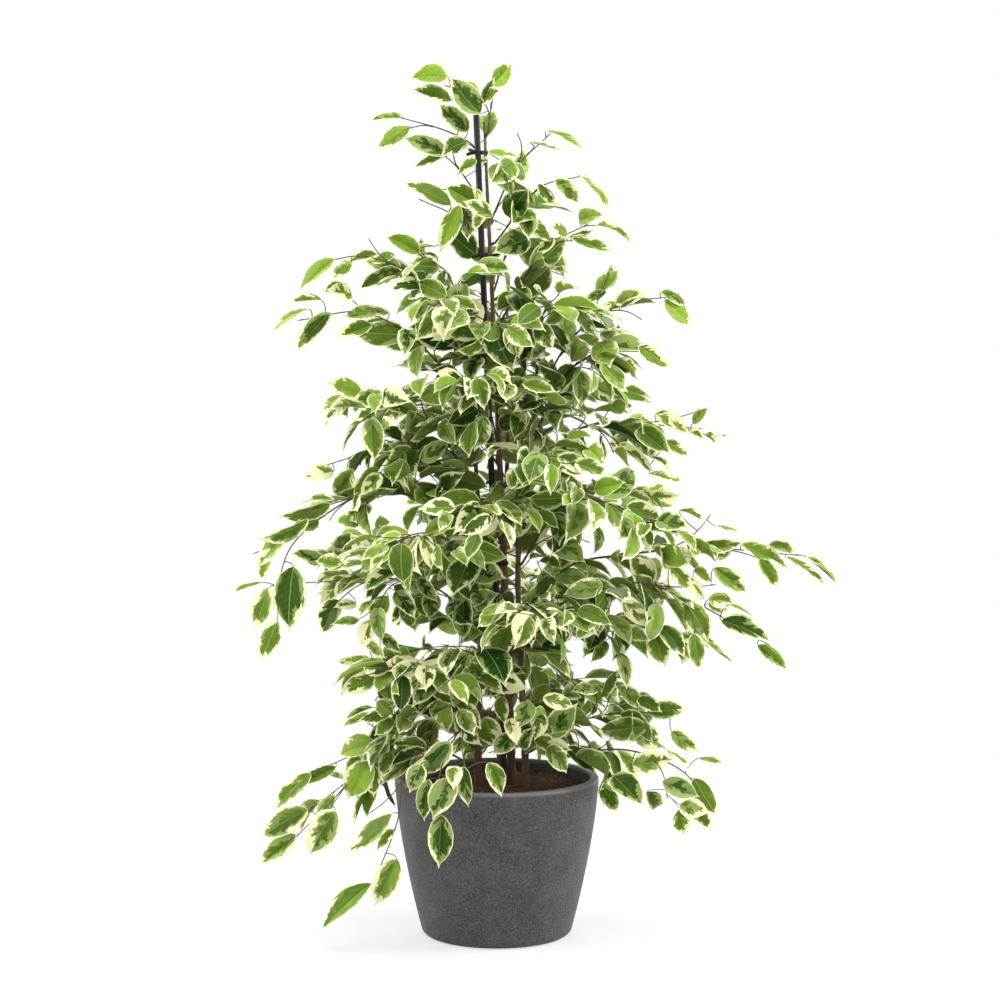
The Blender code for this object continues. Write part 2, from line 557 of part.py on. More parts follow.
class Surroundings:
    """What has been placed so far, as search trees with the spheres round them."""

    def __init__(self):
        self.pieces = []

    def add(self, tree, middle, reach, owner=None):
        self.pieces.append((tree, middle, reach, owner))

    def free(self, tree, middle, reach, but_not=None):
        return not any(
            (middle - other_middle).length < reach + other_reach and tree.overlap(other)
            for other, other_middle, other_reach, owner in self.pieces
            if owner is None or owner != but_not
        )


def leaf_pose(chance, twig_heading, place, hand, attempt):
    """A leaf's direction and upper face, and its side of the twig: it leaves sideways and droops outwards.

    The hand is 1 or -1 for a leaf on the twig's side and 0 for the one at its tip.
    """
    outwards = Vector((place.x, place.y, 0.0)).normalized()
    sideways = twig_heading.cross(Vector((0, 0, 1)))
    if sideways.length < 0.05:
        sideways = outwards.cross(Vector((0, 0, 1)))
    sideways.normalize()
    scatter = SCATTER * (1 + SCATTER_GROWTH * attempt)
    droop = DROOP + scatter * chance.uniform(-1, 1)
    sweep = SIDEWAYS * hand + scatter * chance.uniform(-1, 1)
    heading = ALONG_TWIG * twig_heading + sweep * sideways + OUTWARDS * outwards - Vector((0, 0, droop))
    heading.normalize()
    face_up = FACE_UP * (Vector((0, 0, 1)) + outwards) + scatter * chance.uniform(-1, 1) * sideways
    face_up = (face_up - face_up.project(heading)).normalized()
    return heading, face_up, sideways * hand


def add_leaf(bm, faces, place, twig_heading, hand, chance, surroundings, owner, stalked):
    """Grows one leaf from the face that points its way, where it is free of everything placed so far."""
    for attempt in range(LEAF_TRIES):
        heading, face_up, sideways = leaf_pose(chance, twig_heading, place, hand, attempt)
        size = chance.uniform(*LEAF_SIZES)
        if stalked:
            stalk_way = STALK_SIDEWAYS * sideways + STALK_ALONG * twig_heading + Vector((0, 0, STALK_RISE))
            stalk_way.normalize()
        else:
            stalk_way = twig_heading
            heading = (0.9 * twig_heading + 0.5 * heading).normalized()
            face_up = (face_up - face_up.project(heading)).normalized()
        base = place + stalk_way * (STALK_LENGTH if stalked else TIP_STALK_LENGTH)
        rings, tip = leaf_rings(base, heading, face_up, LEAF_LENGTH * size, LEAF_WIDTH * size)
        across = heading.cross(face_up)
        stalk = ring(base, heading, across, STALK_RADIUS * math.sqrt(2), 4)
        wide_rings, wide_tip = leaf_rings(base, heading, face_up, LEAF_LENGTH * size + LEAF_CLEARANCE,
                                          LEAF_WIDTH * size, swell=LEAF_CLEARANCE)
        # The whole leaf clears every other branch, and its blade clears its own twigs as well
        whole = shell_tree([stalk, *wide_rings], wide_tip)
        blade = shell_tree(wide_rings, wide_tip)
        middle = base + 0.5 * LEAF_LENGTH * size * heading
        reach = 0.62 * LEAF_LENGTH * size
        if surroundings.free(whole, middle, reach, but_not=owner) and surroundings.free(blade, middle, reach):
            break
    else:
        return
    if stalked:
        for candidate in faces:
            candidate.normal_update()
        face = max(faces, key=lambda f: f.normal.dot(stalk_way))
        faces.remove(face)
        face = grow(bm, face, stalk)
    else:
        face = faces[0]
    for corners in rings:
        face = grow(bm, face, corners)
    end = grow(bm, face, [tip.lerp(corner, 0.02) for corner in rings[-1]])
    bmesh.ops.pointmerge(bm, verts=[loop.vert for loop in end.loops], merge_co=tip)
    surroundings.add(whole, middle, reach)


def bud_route(route, buds):
    """The route with a short straight stretch put in round each bud, and the stretch that each bud has."""
    half = 0.5 * BUD_LENGTH / route_length(route)
    shares = [i / (len(route) - 1) for i in range(len(route))]
    kept = [s for s in shares if all(abs(s - bud) > 4 * half for bud in buds) or s in (0.0, 1.0)]
    marks = sorted(kept + [bud + sign * half for bud in buds for sign in (-1, 1)])
    stretches = {bud: marks.index(bud + half) - 1 for bud in buds}
    return [at_share(route, mark)[0] for mark in marks], stretches


def side_route(start, heading, end):
    """A side twig's curve: it leaves along the branch and bends to its end."""
    bend = start + SIDE_BEND * (end - start).length * heading
    return [start.lerp(bend, t).lerp(bend.lerp(end, t), t) for t in (0.0, 0.3, 0.65, 1.0)]


class Branch:
    """One leafy branch while it grows: its twigs first, then its leaves."""

    def __init__(self, name, bough, seed):
        self.name = name
        self.bm = bmesh.new()
        self.chance = random.Random(seed)
        self.places = []  # (faces, place, heading, hand, stalked) for each leaf to come
        self.grow_twigs(bough)

    def grow_twigs(self, bough):
        stem, stem_radius, stem_heading = stem_at(STEMS[bough.stem], bough.height)
        outwards = Vector(bough.route[0]) - stem
        outwards = (outwards - outwards.project(stem_heading)).normalized()
        root = stem + outwards * (stem_radius + SEAT_GAP)
        collar = root + outwards * COLLAR_REACH + Vector((0, 0, COLLAR_RISE))
        route = smooth_route([collar, *bough.route], TWIG_STEP)
        length = route_length(route)
        start = max(BARE_SHARE, BARE_LENGTH / length)
        count = int((1 - start) * length / BUD_SPACING)
        leaf_buds = [start + (1 - start) * (i + 0.35) / max(count, 1) for i in range(count)]
        twig_buds = [share for share, _ in bough.side_twigs]
        leaf_buds = [b for b in leaf_buds if all(abs(b - t) * length > BUD_ROOM for t in twig_buds)]
        for i, bud in enumerate(twig_buds):
            while any(abs(bud - other) * length < TWIN_ROOM for other in twig_buds[:i]):
                bud += TWIN_ROOM / length
            twig_buds[i] = bud
        marked, stretches = bud_route(route, leaf_buds + twig_buds)
        path = [root, *marked]
        thick = TWIG_FOOT_RADIUS + TWIG_THICKENING * length
        radii = [thick + (TWIG_TIP_RADIUS - thick) * i / (len(path) - 1) for i in range(len(path))]
        across = Vector((0, 0, 1)).cross(outwards)
        grown = grow_rod(self.bm, path, radii, TWIG_SIDES, across)
        hand = self.chance.choice((-1, 1))
        for bud in leaf_buds:
            hand = -hand
            self.mark_leaf(grown[stretches[bud] + 1][1], route, bud, hand)
        for (share, end), bud in zip(bough.side_twigs, twig_buds):
            self.grow_side(grown[stretches[bud] + 1][1], route, bud, Vector(end))
        self.mark_tip(grown[-1][0], path)

    def grow_side(self, faces, route, bud, end):
        start, heading = at_share(route, bud)
        line = side_route(start, heading, end)
        way = (line[1] - line[0]).normalized()
        for candidate in faces:
            candidate.normal_update()
        face = max(faces, key=lambda f: f.normal.dot(end - start))
        faces.remove(face)
        line[0] = start + (line[1] - start) * SIDE_ROOT
        buds = [SIDE_BUD] if route_length(line) > BUDLESS_LENGTH else []
        marked, stretches = bud_route(line, buds)
        radii = [SIDE_FOOT_RADIUS] + [TWIG_TIP_RADIUS] * (len(marked) - 1)
        across = way.cross(Vector((0, 0, 1)))
        grown = grow_rod(self.bm, marked, radii, TWIG_SIDES, across, face)
        hand = self.chance.choice((-1, 1))
        for side_bud in buds:
            self.mark_leaf(grown[stretches[side_bud]][1], line, side_bud, hand)
        self.mark_tip(grown[-1][0], marked)

    def mark_leaf(self, faces, route, share, hand):
        place, heading = at_share(route, share)
        self.places.append((faces, place, heading, hand, True))

    def mark_tip(self, end, path):
        self.places.append(([end], path[-1], (path[-1] - path[-2]).normalized(), 0, False))

    def middle_and_reach(self):
        points = [vert.co for vert in self.bm.verts]
        middle = sum(points, Vector()) / len(points)
        return middle, max((point - middle).length for point in points)


def main():
    clear_scene()
    bark = finish("bark", (0.16, 0.09, 0.05), 0.8)
    foliage = finish("variegated_leaf", (0.10, 0.22, 0.04), 0.45)
    black_plastic = finish("black_plastic", (0.012, 0.012, 0.013), 0.45)
    stone = finish("cast_stone", (0.09, 0.09, 0.092), 0.85)
    coir = finish("coir_soil", (0.035, 0.02, 0.013), 0.95)
    cutting = finish("pocket_cutter", (1.0, 0.0, 0.0), 0.5)

    surroundings = Surroundings()
    pot = make_pot(stone)
    pockets = []
    standing = [make_stake(black_plastic, cutting)]
    standing += [make_stem(f"stem_{i + 1}", stem, bark, cutting) for i, stem in enumerate(STEMS)]
    for _, tree, pocket in standing:
        pockets.append(pocket)
        surroundings.add(tree, Vector((0, 0, 0.55)), 0.6)
    soil = make_soil(coir, pockets)
    for obj in (pot, soil):
        verts = [vert.co for vert in obj.data.vertices]
        faces = [polygon.vertices[:] for polygon in obj.data.polygons]
        surroundings.add(BVHTree.FromPolygons(verts, faces), Vector((0, 0, POT_HEIGHT / 2)), 0.17)

    for i, (height, tails) in enumerate(TIES):
        _, tree = make_tie(f"stake_tie_{i + 1}", height, tails, black_plastic)
        surroundings.add(tree, Vector((0, 0, height)), 0.06)

    branches = [Branch(f"leafy_branch_{i + 1:02d}", bough, 100 + i) for i, bough in enumerate(BOUGHS)]
    for branch in branches:
        surroundings.add(BVHTree.FromBMesh(branch.bm), *branch.middle_and_reach(), owner=branch.name)
    for branch in branches:
        for faces, place, heading, hand, stalked in branch.places:
            add_leaf(branch.bm, faces, place, heading, hand, branch.chance, surroundings, branch.name, stalked)
    for branch in branches:
        add_object(branch.name, branch.bm, foliage)


main()
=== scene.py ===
"""The looks of a staked weeping fig with cream-edged leaves, in a round pot of cast stone.

Metres, +Z up. The origin is the middle of the pot's underside and the plant's front is -Y.
"""

import bpy
import numpy as np
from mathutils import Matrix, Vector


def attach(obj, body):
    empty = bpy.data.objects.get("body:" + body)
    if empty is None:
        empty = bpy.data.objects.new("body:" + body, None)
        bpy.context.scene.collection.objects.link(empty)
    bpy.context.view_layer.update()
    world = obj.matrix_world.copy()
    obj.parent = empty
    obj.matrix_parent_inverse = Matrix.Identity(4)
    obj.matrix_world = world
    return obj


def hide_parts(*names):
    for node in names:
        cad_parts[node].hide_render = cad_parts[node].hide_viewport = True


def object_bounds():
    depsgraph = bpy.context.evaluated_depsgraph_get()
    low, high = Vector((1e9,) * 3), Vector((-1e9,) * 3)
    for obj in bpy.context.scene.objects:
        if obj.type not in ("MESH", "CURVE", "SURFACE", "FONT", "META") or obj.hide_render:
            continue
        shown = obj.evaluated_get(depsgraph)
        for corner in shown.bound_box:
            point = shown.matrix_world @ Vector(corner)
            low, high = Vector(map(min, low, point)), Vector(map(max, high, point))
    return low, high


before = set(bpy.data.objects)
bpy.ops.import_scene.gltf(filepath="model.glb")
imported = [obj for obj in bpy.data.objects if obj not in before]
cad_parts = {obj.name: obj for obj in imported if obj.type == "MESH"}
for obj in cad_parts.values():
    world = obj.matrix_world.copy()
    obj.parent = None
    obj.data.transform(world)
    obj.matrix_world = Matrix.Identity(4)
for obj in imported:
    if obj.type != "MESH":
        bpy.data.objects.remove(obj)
CAD_BOX = [list(corner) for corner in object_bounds()]


# --- Studio ----------------------------------------------------------------------------------------------
# A seamless pale sweep with one big soft lamp above the front, a weaker one at each side and one behind
# that lights the leaves' edges. None of it belongs to the plant.

CAMERA_PLACE = (0.004, -3.36, 0.816)
CAMERA_TILT = 85.3  # degrees up from looking straight down
CAMERA_LENS = 98.75
LAMPS = (  # name, place, aim, size in metres, watts
    ("key", (0.4, -1.0, 3.0), (0.0, 0.0, 0.50), 2.0, 66.0),
    ("left_fill", (-2.2, -0.1, 1.2), (0.0, 0.0, 0.35), 2.0, 58.0),
    ("right_fill", (2.2, 0.1, 1.1), (0.0, 0.0, 0.30), 2.0, 62.0),
    ("back", (0.0, 2.2, 2.4), (0.0, 0.0, 0.7), 1.6, 46.0),
)
WHITE = (1.0, 1.0, 1.0)
FLOOR_GREY = (0.66, 0.66, 0.66)
SKY_STRENGTH = 0.72
FLOOR_GLOW = 0.62  # share of the floor's brightness under the plant that its shadow doesn't touch
FLOOR_NEAR, FLOOR_FAR = 0.5, 1.6  # metres from the plant over which that share rises to all of it


def add_node(tree, kind, values=None, **settings):
    """A shader node's outputs. Its inputs are set to values or colours, or linked to other nodes' outputs."""
    made = tree.nodes.new(kind)
    for name, value in settings.items():
        setattr(made, name, value)
    for name, value in (values or {}).items():
        socket = made.inputs[name]
        if isinstance(value, bpy.types.NodeSocket):
            tree.links.new(value, socket)
        else:
            socket.default_value = (*value, 1.0) if socket.type == "RGBA" else value
    return made.outputs


def maths(tree, operation, *values, clamp=False):
    """The output of a maths node with the given values, or other nodes' outputs, as its inputs."""
    return add_node(tree, "ShaderNodeMath", dict(enumerate(values)), operation=operation, use_clamp=clamp)[0]


def ramp(tree, value, start, end, low=0.0, high=1.0):
    """The value, moved from the range start to end to the range low to high and kept inside it."""
    return add_node(tree, "ShaderNodeMapRange", {"Value": value, "From Min": start, "From Max": end,
                                                 "To Min": low, "To Max": high})[0]


def camera_sees(tree):
    """1 where the camera looks straight at the surface, or sees it in a gloss or through glass, else 0."""
    path = add_node(tree, "ShaderNodeLightPath")
    either = maths(tree, "MAXIMUM", path["Is Camera Ray"], path["Is Glossy Ray"])
    return maths(tree, "MAXIMUM", either, path["Is Transmission Ray"])


def aim(obj, place, target):
    """Puts a lamp at a place and turns its -Z axis to the target."""
    obj.location = place
    toward = np.subtract(target, place)
    obj.rotation_euler = (np.arctan2(np.hypot(toward[0], toward[1]), -toward[2]), 0.0,
                          np.arctan2(toward[1], toward[0]) - np.pi / 2)


def emptied(owner):
    """The node tree of a world or a material, with nothing in it yet."""
    owner.use_nodes = True
    owner.node_tree.nodes.clear()
    return owner.node_tree


def add_object(name, data):
    """A new object in the scene, which shows a mesh, a lamp or a camera."""
    made = bpy.data.objects.new(name, data)
    scene.collection.objects.link(made)
    return made


scene = bpy.context.scene
scene.view_settings.view_transform = "Standard"

scene.world = bpy.data.worlds.new("studio_sky")
tree = emptied(scene.world)
strength = ramp(tree, camera_sees(tree), 0.0, 1.0, SKY_STRENGTH)
backdrop = add_node(tree, "ShaderNodeBackground", {"Color": WHITE, "Strength": strength})
add_node(tree, "ShaderNodeOutputWorld", {"Surface": backdrop[0]})

sweep = bpy.data.materials.new("pale_sweep")
tree = emptied(sweep)
matt = add_node(tree, "ShaderNodeBsdfDiffuse", {"Color": FLOOR_GREY})
glow = add_node(tree, "ShaderNodeEmission", {"Color": WHITE, "Strength": 1.0})
away = add_node(tree, "ShaderNodeVectorMath", {0: add_node(tree, "ShaderNodeTexCoord")["Object"]},
                operation="LENGTH")["Value"]
share = maths(tree, "MULTIPLY", camera_sees(tree), ramp(tree, away, FLOOR_NEAR, FLOOR_FAR, FLOOR_GLOW))
mixed = add_node(tree, "ShaderNodeMixShader", {0: share, 1: matt[0], 2: glow[0]})
add_node(tree, "ShaderNodeOutputMaterial", {"Surface": mixed[0]})

floor_mesh = bpy.data.meshes.new("floor")
floor_mesh.from_pydata([(-30, -10, 0), (30, -10, 0), (30, 60, 0), (-30, 60, 0)], [], [(0, 1, 2, 3)])
floor_mesh.materials.append(sweep)
add_object("floor", floor_mesh)

for name, place, target, size, watts in LAMPS:
    lamp = bpy.data.lights.new(name, "AREA")
    lamp.shape = "DISK"
    lamp.size = size
    lamp.energy = watts
    aim(add_object(name, lamp), place, target)

camera = add_object("camera", bpy.data.cameras.new("camera"))
camera.data.lens = CAMERA_LENS
camera.data.sensor_width = 36.0
camera.location = CAMERA_PLACE
camera.rotation_euler = (np.radians(CAMERA_TILT), 0.0, 0.0)
scene.camera = camera


# --- Pot -------------------------------------------------------------------------------------------------
# A round tapered pot, cast from dark stone dust and resin in a mould, so its wall is finely pitted while
# the rounded rim has been rubbed smooth. It is hollow, with a flat floor that stands on the ground.

POT_HEIGHT = 0.198
RIM_RADIUS = 0.1265
FOOT_RADIUS = 0.0915
POT_SWELL = 1.5  # the power that the wall's outline follows, 1 for a straight cone
POT_WALL = 0.011
POT_FLOOR = 0.014
FOOT_ROUND = 0.011
RIM_ROUND = 0.0045
POT_TURNS = 144
WALL_RINGS_OUTSIDE, WALL_RINGS_INSIDE = 26, 16
RIM_BAND_FROM_TO = (POT_HEIGHT - 0.0055, POT_HEIGHT - 0.0025)  # heights between which the rim turns smooth and takes a painted highlight
STONE_PIT = (0.010, 0.010, 0.011)
STONE_DARK = (0.013, 0.013, 0.013)
STONE_GREY = (0.079, 0.079, 0.079)
STONE_LIGHT = (0.19, 0.19, 0.19)
# the painted highlight on the top of the rim
RIM_HIGHLIGHT_GREY = (0.135, 0.135, 0.134)


def outer_radius(height):
    """Foot radius plus the difference to the rim times 1 - (1 - height / full height) ^ swell."""
    rise = np.clip(np.asarray(height, float) / POT_HEIGHT, 0.0, 1.0)
    return FOOT_RADIUS + (RIM_RADIUS - FOOT_RADIUS) * (1 - (1 - rise) ** POT_SWELL)


def arc(middle, radius, start, end, steps=9):
    """Points at a constant distance from a middle, evenly spaced in angle from start to end, in degrees."""
    angles = np.radians(np.linspace(start, end, steps))
    return np.stack([middle[0] + radius * np.cos(angles), middle[1] + radius * np.sin(angles)], 1)


def turned(outline, turns):
    """Each outline point (r, z) goes round the Z axis: x = r cos a, y = r sin a. Both ends are closed."""
    angles = np.linspace(0.0, 2 * np.pi, turns, endpoint=False)
    r, z = outline[1:-1].T
    x = r[:, None] * np.cos(angles)
    rings = np.stack([x, r[:, None] * np.sin(angles), np.broadcast_to(z[:, None], x.shape)], 2).reshape(-1, 3)
    points = np.concatenate([[[0.0, 0.0, outline[0, 1]]], rings, [[0.0, 0.0, outline[-1, 1]]]])
    ring = 1 + np.arange(len(r) * turns).reshape(len(r), turns)
    after = np.roll(ring, -1, axis=1)
    quads = np.stack([ring[:-1], after[:-1], after[1:], ring[1:]], 2).reshape(-1, 4)
    first = np.stack([np.zeros(turns, int), after[0], ring[0]], 1)
    last = np.stack([np.full(turns, len(points) - 1), ring[-1], after[-1]], 1)
    return points, quads.tolist() + first.tolist() + last.tolist()


def make_piece(name, points, faces, material, sharp=40.0):
    """A mesh object at the origin with smooth faces, and hard edges where they meet at more than an angle."""
    mesh = bpy.data.meshes.new(name)
    mesh.from_pydata(np.asarray(points).tolist(), [], faces)
    mesh.materials.append(material)
    mesh.shade_smooth()
    mesh.set_sharp_from_angle(angle=np.radians(sharp))
    return add_object(name, mesh)


def fit(piece, slot, *nodes):
    """Fixes a piece to the plant's one body, in place of its CAD nodes. The slot is not used."""
    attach(piece, "root")
    if nodes:
        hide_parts(*nodes)


def speckle_group():
    """Cloudy grain and small round spots, whose mask rises to 1 towards the middle of each."""
    group = bpy.data.node_groups.new("speckle", "ShaderNodeTree")
    for way, labels in (("INPUT", ("Scale", "Spot Share", "Spot Size")), ("OUTPUT", ("Grain", "Spots"))):
        for label in labels:
            group.interface.new_socket(label, in_out=way, socket_type="NodeSocketFloat")
    given = add_node(group, "NodeGroupInput")
    place = add_node(group, "ShaderNodeTexCoord")["Object"]
    cloud = add_node(group, "ShaderNodeTexNoise", {"Vector": place, "Scale": given["Scale"], "Detail": 5.0,
                                                   "Roughness": 0.65})[0]
    cells = add_node(group, "ShaderNodeTexVoronoi", {"Vector": place, "Scale": given["Scale"]})
    lot = add_node(group, "ShaderNodeSeparateColor", {"Color": cells["Color"]})
    chosen = maths(group, "LESS_THAN", lot["Red"], given["Spot Share"])
    edge = maths(group, "MULTIPLY_ADD", lot["Green"], given["Spot Size"], 0.12)
    spots = maths(group, "MULTIPLY", ramp(group, cells["Distance"], edge, 0.05), chosen)
    add_node(group, "NodeGroupOutput", {"Grain": cloud, "Spots": spots})
    return group


def speckle(tree, scale, share=0.2, size=0.3):
    """The grain and the spots at a scale, with a share of the places holding a spot, of up to a size."""
    return add_node(tree, "ShaderNodeGroup", {"Scale": scale, "Spot Share": share, "Spot Size": size},
                    node_tree=SPECKLE)


def blend(tree, factor, first, second):
    """The first colour where the factor is 0 and the second where it is 1."""
    return add_node(tree, "ShaderNodeMix", {0: factor, 6: first, 7: second}, data_type="RGBA")[2]


def new_finish(name, **constants):
    """A material with one Principled shader, whose named inputs are set to constants, and its node tree."""
    material = bpy.data.materials.new(name)
    material.use_nodes = True
    shader = material.node_tree.nodes["Principled BSDF"]
    for label, value in constants.items():
        shader.inputs[label.replace("_", " ")].default_value = value
    return material, material.node_tree


def finished(material, relief, strength, depth, **surface):
    """The material with a bump, and with named inputs of its shader linked to nodes' outputs."""
    tree = material.node_tree
    bump = add_node(tree, "ShaderNodeBump", {"Strength": strength, "Distance": depth, "Height": relief})[0]
    for label, value in (*surface.items(), ("Normal", bump)):
        tree.links.new(value, tree.nodes["Principled BSDF"].inputs[label.replace("_", " ")])
    return material


def height_in(tree):
    """How high over the ground each place on the surface is, in metres."""
    place = add_node(tree, "ShaderNodeTexCoord")["Object"]
    return add_node(tree, "ShaderNodeSeparateXYZ", {0: place})["Z"]


def stone_finish():
    """Mottled grey with dark pits and pale grains, smoother on the rim, whose paler grey is a painted
    highlight.
    """
    material, tree = new_finish("cast_stone")
    pits = speckle(tree, 520.0, 0.34, 0.60)
    grains = speckle(tree, 560.0, 0.30, 0.26)
    cloud = speckle(tree, 34.0)
    tone = maths(tree, "MULTIPLY_ADD", cloud["Grain"], 0.20, maths(tree, "MULTIPLY", pits["Grain"], 0.80))
    grey = blend(tree, ramp(tree, tone, 0.42, 0.59), STONE_DARK, STONE_GREY)
    grey = blend(tree, maths(tree, "MULTIPLY", grains["Spots"], 0.7), grey, STONE_LIGHT)
    grey = blend(tree, pits["Spots"], grey, STONE_PIT)
    rim_band = ramp(tree, height_in(tree), *RIM_BAND_FROM_TO)
    # Painted highlight: the top of the rim is blended towards a paler grey, as if light caught it.
    grey = blend(tree, maths(tree, "MULTIPLY", rim_band, 0.7), grey, RIM_HIGHLIGHT_GREY)
    relief = maths(tree, "MULTIPLY_ADD", pits["Spots"], -1.4, pits["Grain"])
    rough = ramp(tree, rim_band, 0.0, 1.0, 0.62, 0.45)
    return finished(material, relief, 0.55, 0.0005, Base_Color=grey, Roughness=rough)


def pot_outline():
    """Up the outside from the middle of the underside, over the rim, and down the inside to the floor."""
    slope = np.arctan(POT_SWELL * (RIM_RADIUS - FOOT_RADIUS) / POT_HEIGHT)
    foot_end = FOOT_ROUND * (1 - np.sin(slope))
    foot_middle = (float(outer_radius(foot_end)) - FOOT_ROUND * np.cos(slope), FOOT_ROUND)
    rim_start = POT_HEIGHT - RIM_ROUND
    heights = np.linspace(foot_end, rim_start, WALL_RINGS_OUTSIDE)[1:-1]
    inside = np.linspace(rim_start, POT_FLOOR, WALL_RINGS_INSIDE)[1:]
    return np.concatenate([
        [(0.0, 0.0), (0.04, 0.0)],
        arc(foot_middle, FOOT_ROUND, -90, -np.degrees(slope)),
        np.stack([outer_radius(heights), heights], 1),
        arc((RIM_RADIUS - RIM_ROUND, rim_start), RIM_ROUND, 0, 90),
        arc((RIM_RADIUS - POT_WALL + RIM_ROUND, rim_start), RIM_ROUND, 90, 180),
        np.stack([outer_radius(inside) - POT_WALL, inside], 1),
        [(0.0, POT_FLOOR)]])


SPECKLE = speckle_group()
fit(make_piece("pot_shell", *turned(pot_outline(), POT_TURNS), stone_finish()), "cast_stone", "pot")


# --- Potting soil ----------------------------------------------------------------------------------------
# Coarse brown bark and coconut fibre, poured in loose to a little under the rim and heaped at the stems.
# Chips and fibres lie all over its top, and a few pale thin roots show between them.

SOIL_EDGE = 0.180
SOIL_HEAP = 0.005
SOIL_TURNS = 96
SOIL_RINGS = 34
SOIL_CLEARANCE = 0.0003
STREWN_CLEARANCE = 0.002  # from the wall to the chips and fibres
STREWN_INSET = 0.004  # how much further in their middles lie
SLIVER_TAPER = (0.35, 0.9, 1.0, 0.85, 0.3)  # a chip's or a fibre's radius at five even places
LUMPS = 20
LUMP_HEIGHT = 0.00032
COIR_DARK = (0.035, 0.019, 0.013)
COIR_BROWN = (0.17, 0.088, 0.055)
COIR_PALE = (0.38, 0.24, 0.16)
STREWN = (
    # piece, count, lengths, radii, lift over the soil, bend, steepness, sides, flatness,
    # two colours, scale of the grain, angle of its hard edges
    ("bark_chips", 900, (0.004, 0.012), (0.0009, 0.0022), 0.0010, 0.10, 0.50, 5, 0.6,
     (0.085, 0.045, 0.028), (0.55, 0.38, 0.27), 600.0, 30.0),
    ("coir_fibres", 420, (0.008, 0.024), (0.0002, 0.0004), 0.0022, 0.30, 0.35, 4, 1.0,
     (0.070, 0.040, 0.024), (0.30, 0.20, 0.13), 500.0, 40.0),
    ("pale_roots", 14, (0.020, 0.045), (0.0004, 0.0007), 0.0026, 0.25, 0.12, 5, 1.0,
     (0.24, 0.17, 0.11), (0.42, 0.33, 0.24), 500.0, 40.0),
)


def soil_height(x, y):
    """The heap, lower the further from the middle, plus twenty sine waves of 5 to 20 mm in all directions."""
    chance = np.random.default_rng(11)
    headings = chance.uniform(0, 2 * np.pi, LUMPS)
    waves = 2 * np.pi / chance.uniform(0.005, 0.020, LUMPS)
    phases = chance.uniform(0, 2 * np.pi, LUMPS)
    along = np.multiply.outer(x, np.cos(headings)) + np.multiply.outer(y, np.sin(headings))
    edge = outer_radius(SOIL_EDGE) - POT_WALL
    lumps = np.sin(along * waves + phases).sum(-1) * LUMP_HEIGHT
    return SOIL_EDGE + SOIL_HEAP * (1 - (x ** 2 + y ** 2) / edge ** 2) + lumps


def tubes(paths, radii, sides, flat=1.0, across=None):
    """A polygon carried along each path, capped at both ends: centre + radius (cos a side + flat sin a up).

    Side is square to the path's tangent and to a fixed direction, by default the axis that the tangents keep
    furthest from, so that the tube doesn't twist.
    """
    many, points = paths.shape[:2]
    tangents = np.gradient(paths, axis=1)
    tangents /= np.linalg.norm(tangents, axis=2, keepdims=True)
    if across is None:
        across = np.eye(3)[np.abs(tangents).max(1).argmin(1)]
    side = np.cross(tangents, across[:, None, :])
    side /= np.linalg.norm(side, axis=2, keepdims=True)
    up = np.cross(side, tangents)
    angles = 2 * np.pi * np.arange(sides) / sides
    ring = side[:, :, None, :] * np.cos(angles)[:, None] + flat * up[:, :, None, :] * np.sin(angles)[:, None]
    verts = paths[:, :, None, :] + radii[:, :, None, None] * ring
    grid = np.arange(many * points * sides).reshape(many, points, sides)
    after = np.roll(grid, -1, axis=2)
    quads = np.stack([grid[:, :-1], grid[:, 1:], after[:, 1:], after[:, :-1]], 3).reshape(-1, 4)
    return verts.reshape(-1, 3), quads.tolist() + grid[:, 0].tolist() + grid[:, -1, ::-1].tolist()


def join_shapes(*shapes):
    """Several (points, faces) pairs as one pair."""
    offsets = np.cumsum([0] + [len(points) for points, _ in shapes])
    faces = [[i + offset for i in face] for (_, some), offset in zip(shapes, offsets) for face in some]
    return np.concatenate([points for points, _ in shapes]), faces


def strewn(seed, count, lengths, thickness, lift, bend, steep):
    """Curved slivers: middle + t heading + bend (4 t^2) a random direction, for t from -half to half length.

    The middles lie evenly over the soil: radius = edge * square root of a random share.
    """
    chance = np.random.default_rng(seed)
    most = outer_radius(SOIL_EDGE) - POT_WALL - STREWN_CLEARANCE
    radius = (most - STREWN_INSET) * np.sqrt(chance.uniform(0, 1, count))
    angle = chance.uniform(0, 2 * np.pi, count)
    x, y = radius * np.cos(angle), radius * np.sin(angle)
    middle = np.stack([x, y, soil_height(x, y) + lift], 1)
    turn = chance.uniform(0, 2 * np.pi, count)
    tilt = chance.uniform(-steep, steep, count)
    heading = np.stack([np.cos(turn) * np.cos(tilt), np.sin(turn) * np.cos(tilt), np.sin(tilt)], 1)
    length = chance.uniform(*lengths, count)
    t = np.linspace(-0.5, 0.5, len(SLIVER_TAPER))
    sag = chance.normal(0, 1, (count, 3)) * (1.0, 1.0, 0.5)
    paths = (middle[:, None] + heading[:, None] * (t * length[:, None])[:, :, None]
             + sag[:, None] * (4 * bend * t ** 2 * length[:, None])[:, :, None])
    out = np.hypot(paths[:, :, 0], paths[:, :, 1])
    paths[:, :, :2] *= np.minimum(1.0, most / out)[:, :, None]
    return paths, chance.uniform(*thickness, count)[:, None] * SLIVER_TAPER


def coir_finish(name, dark, pale, scale):
    """Brown flecks from near black to straw, grained at the given scale."""
    material, tree = new_finish(name, Roughness=0.9)
    fleck = speckle(tree, scale, 0.35, 0.5)
    lumps = speckle(tree, scale / 7, 0.3, 0.4)
    brown = blend(tree, ramp(tree, lumps["Grain"], 0.34, 0.68), dark, COIR_BROWN)
    brown = blend(tree, maths(tree, "MULTIPLY", fleck["Spots"], 0.55), brown, pale)
    return finished(material, fleck["Grain"], 0.8, 0.0008, Base_Color=brown)


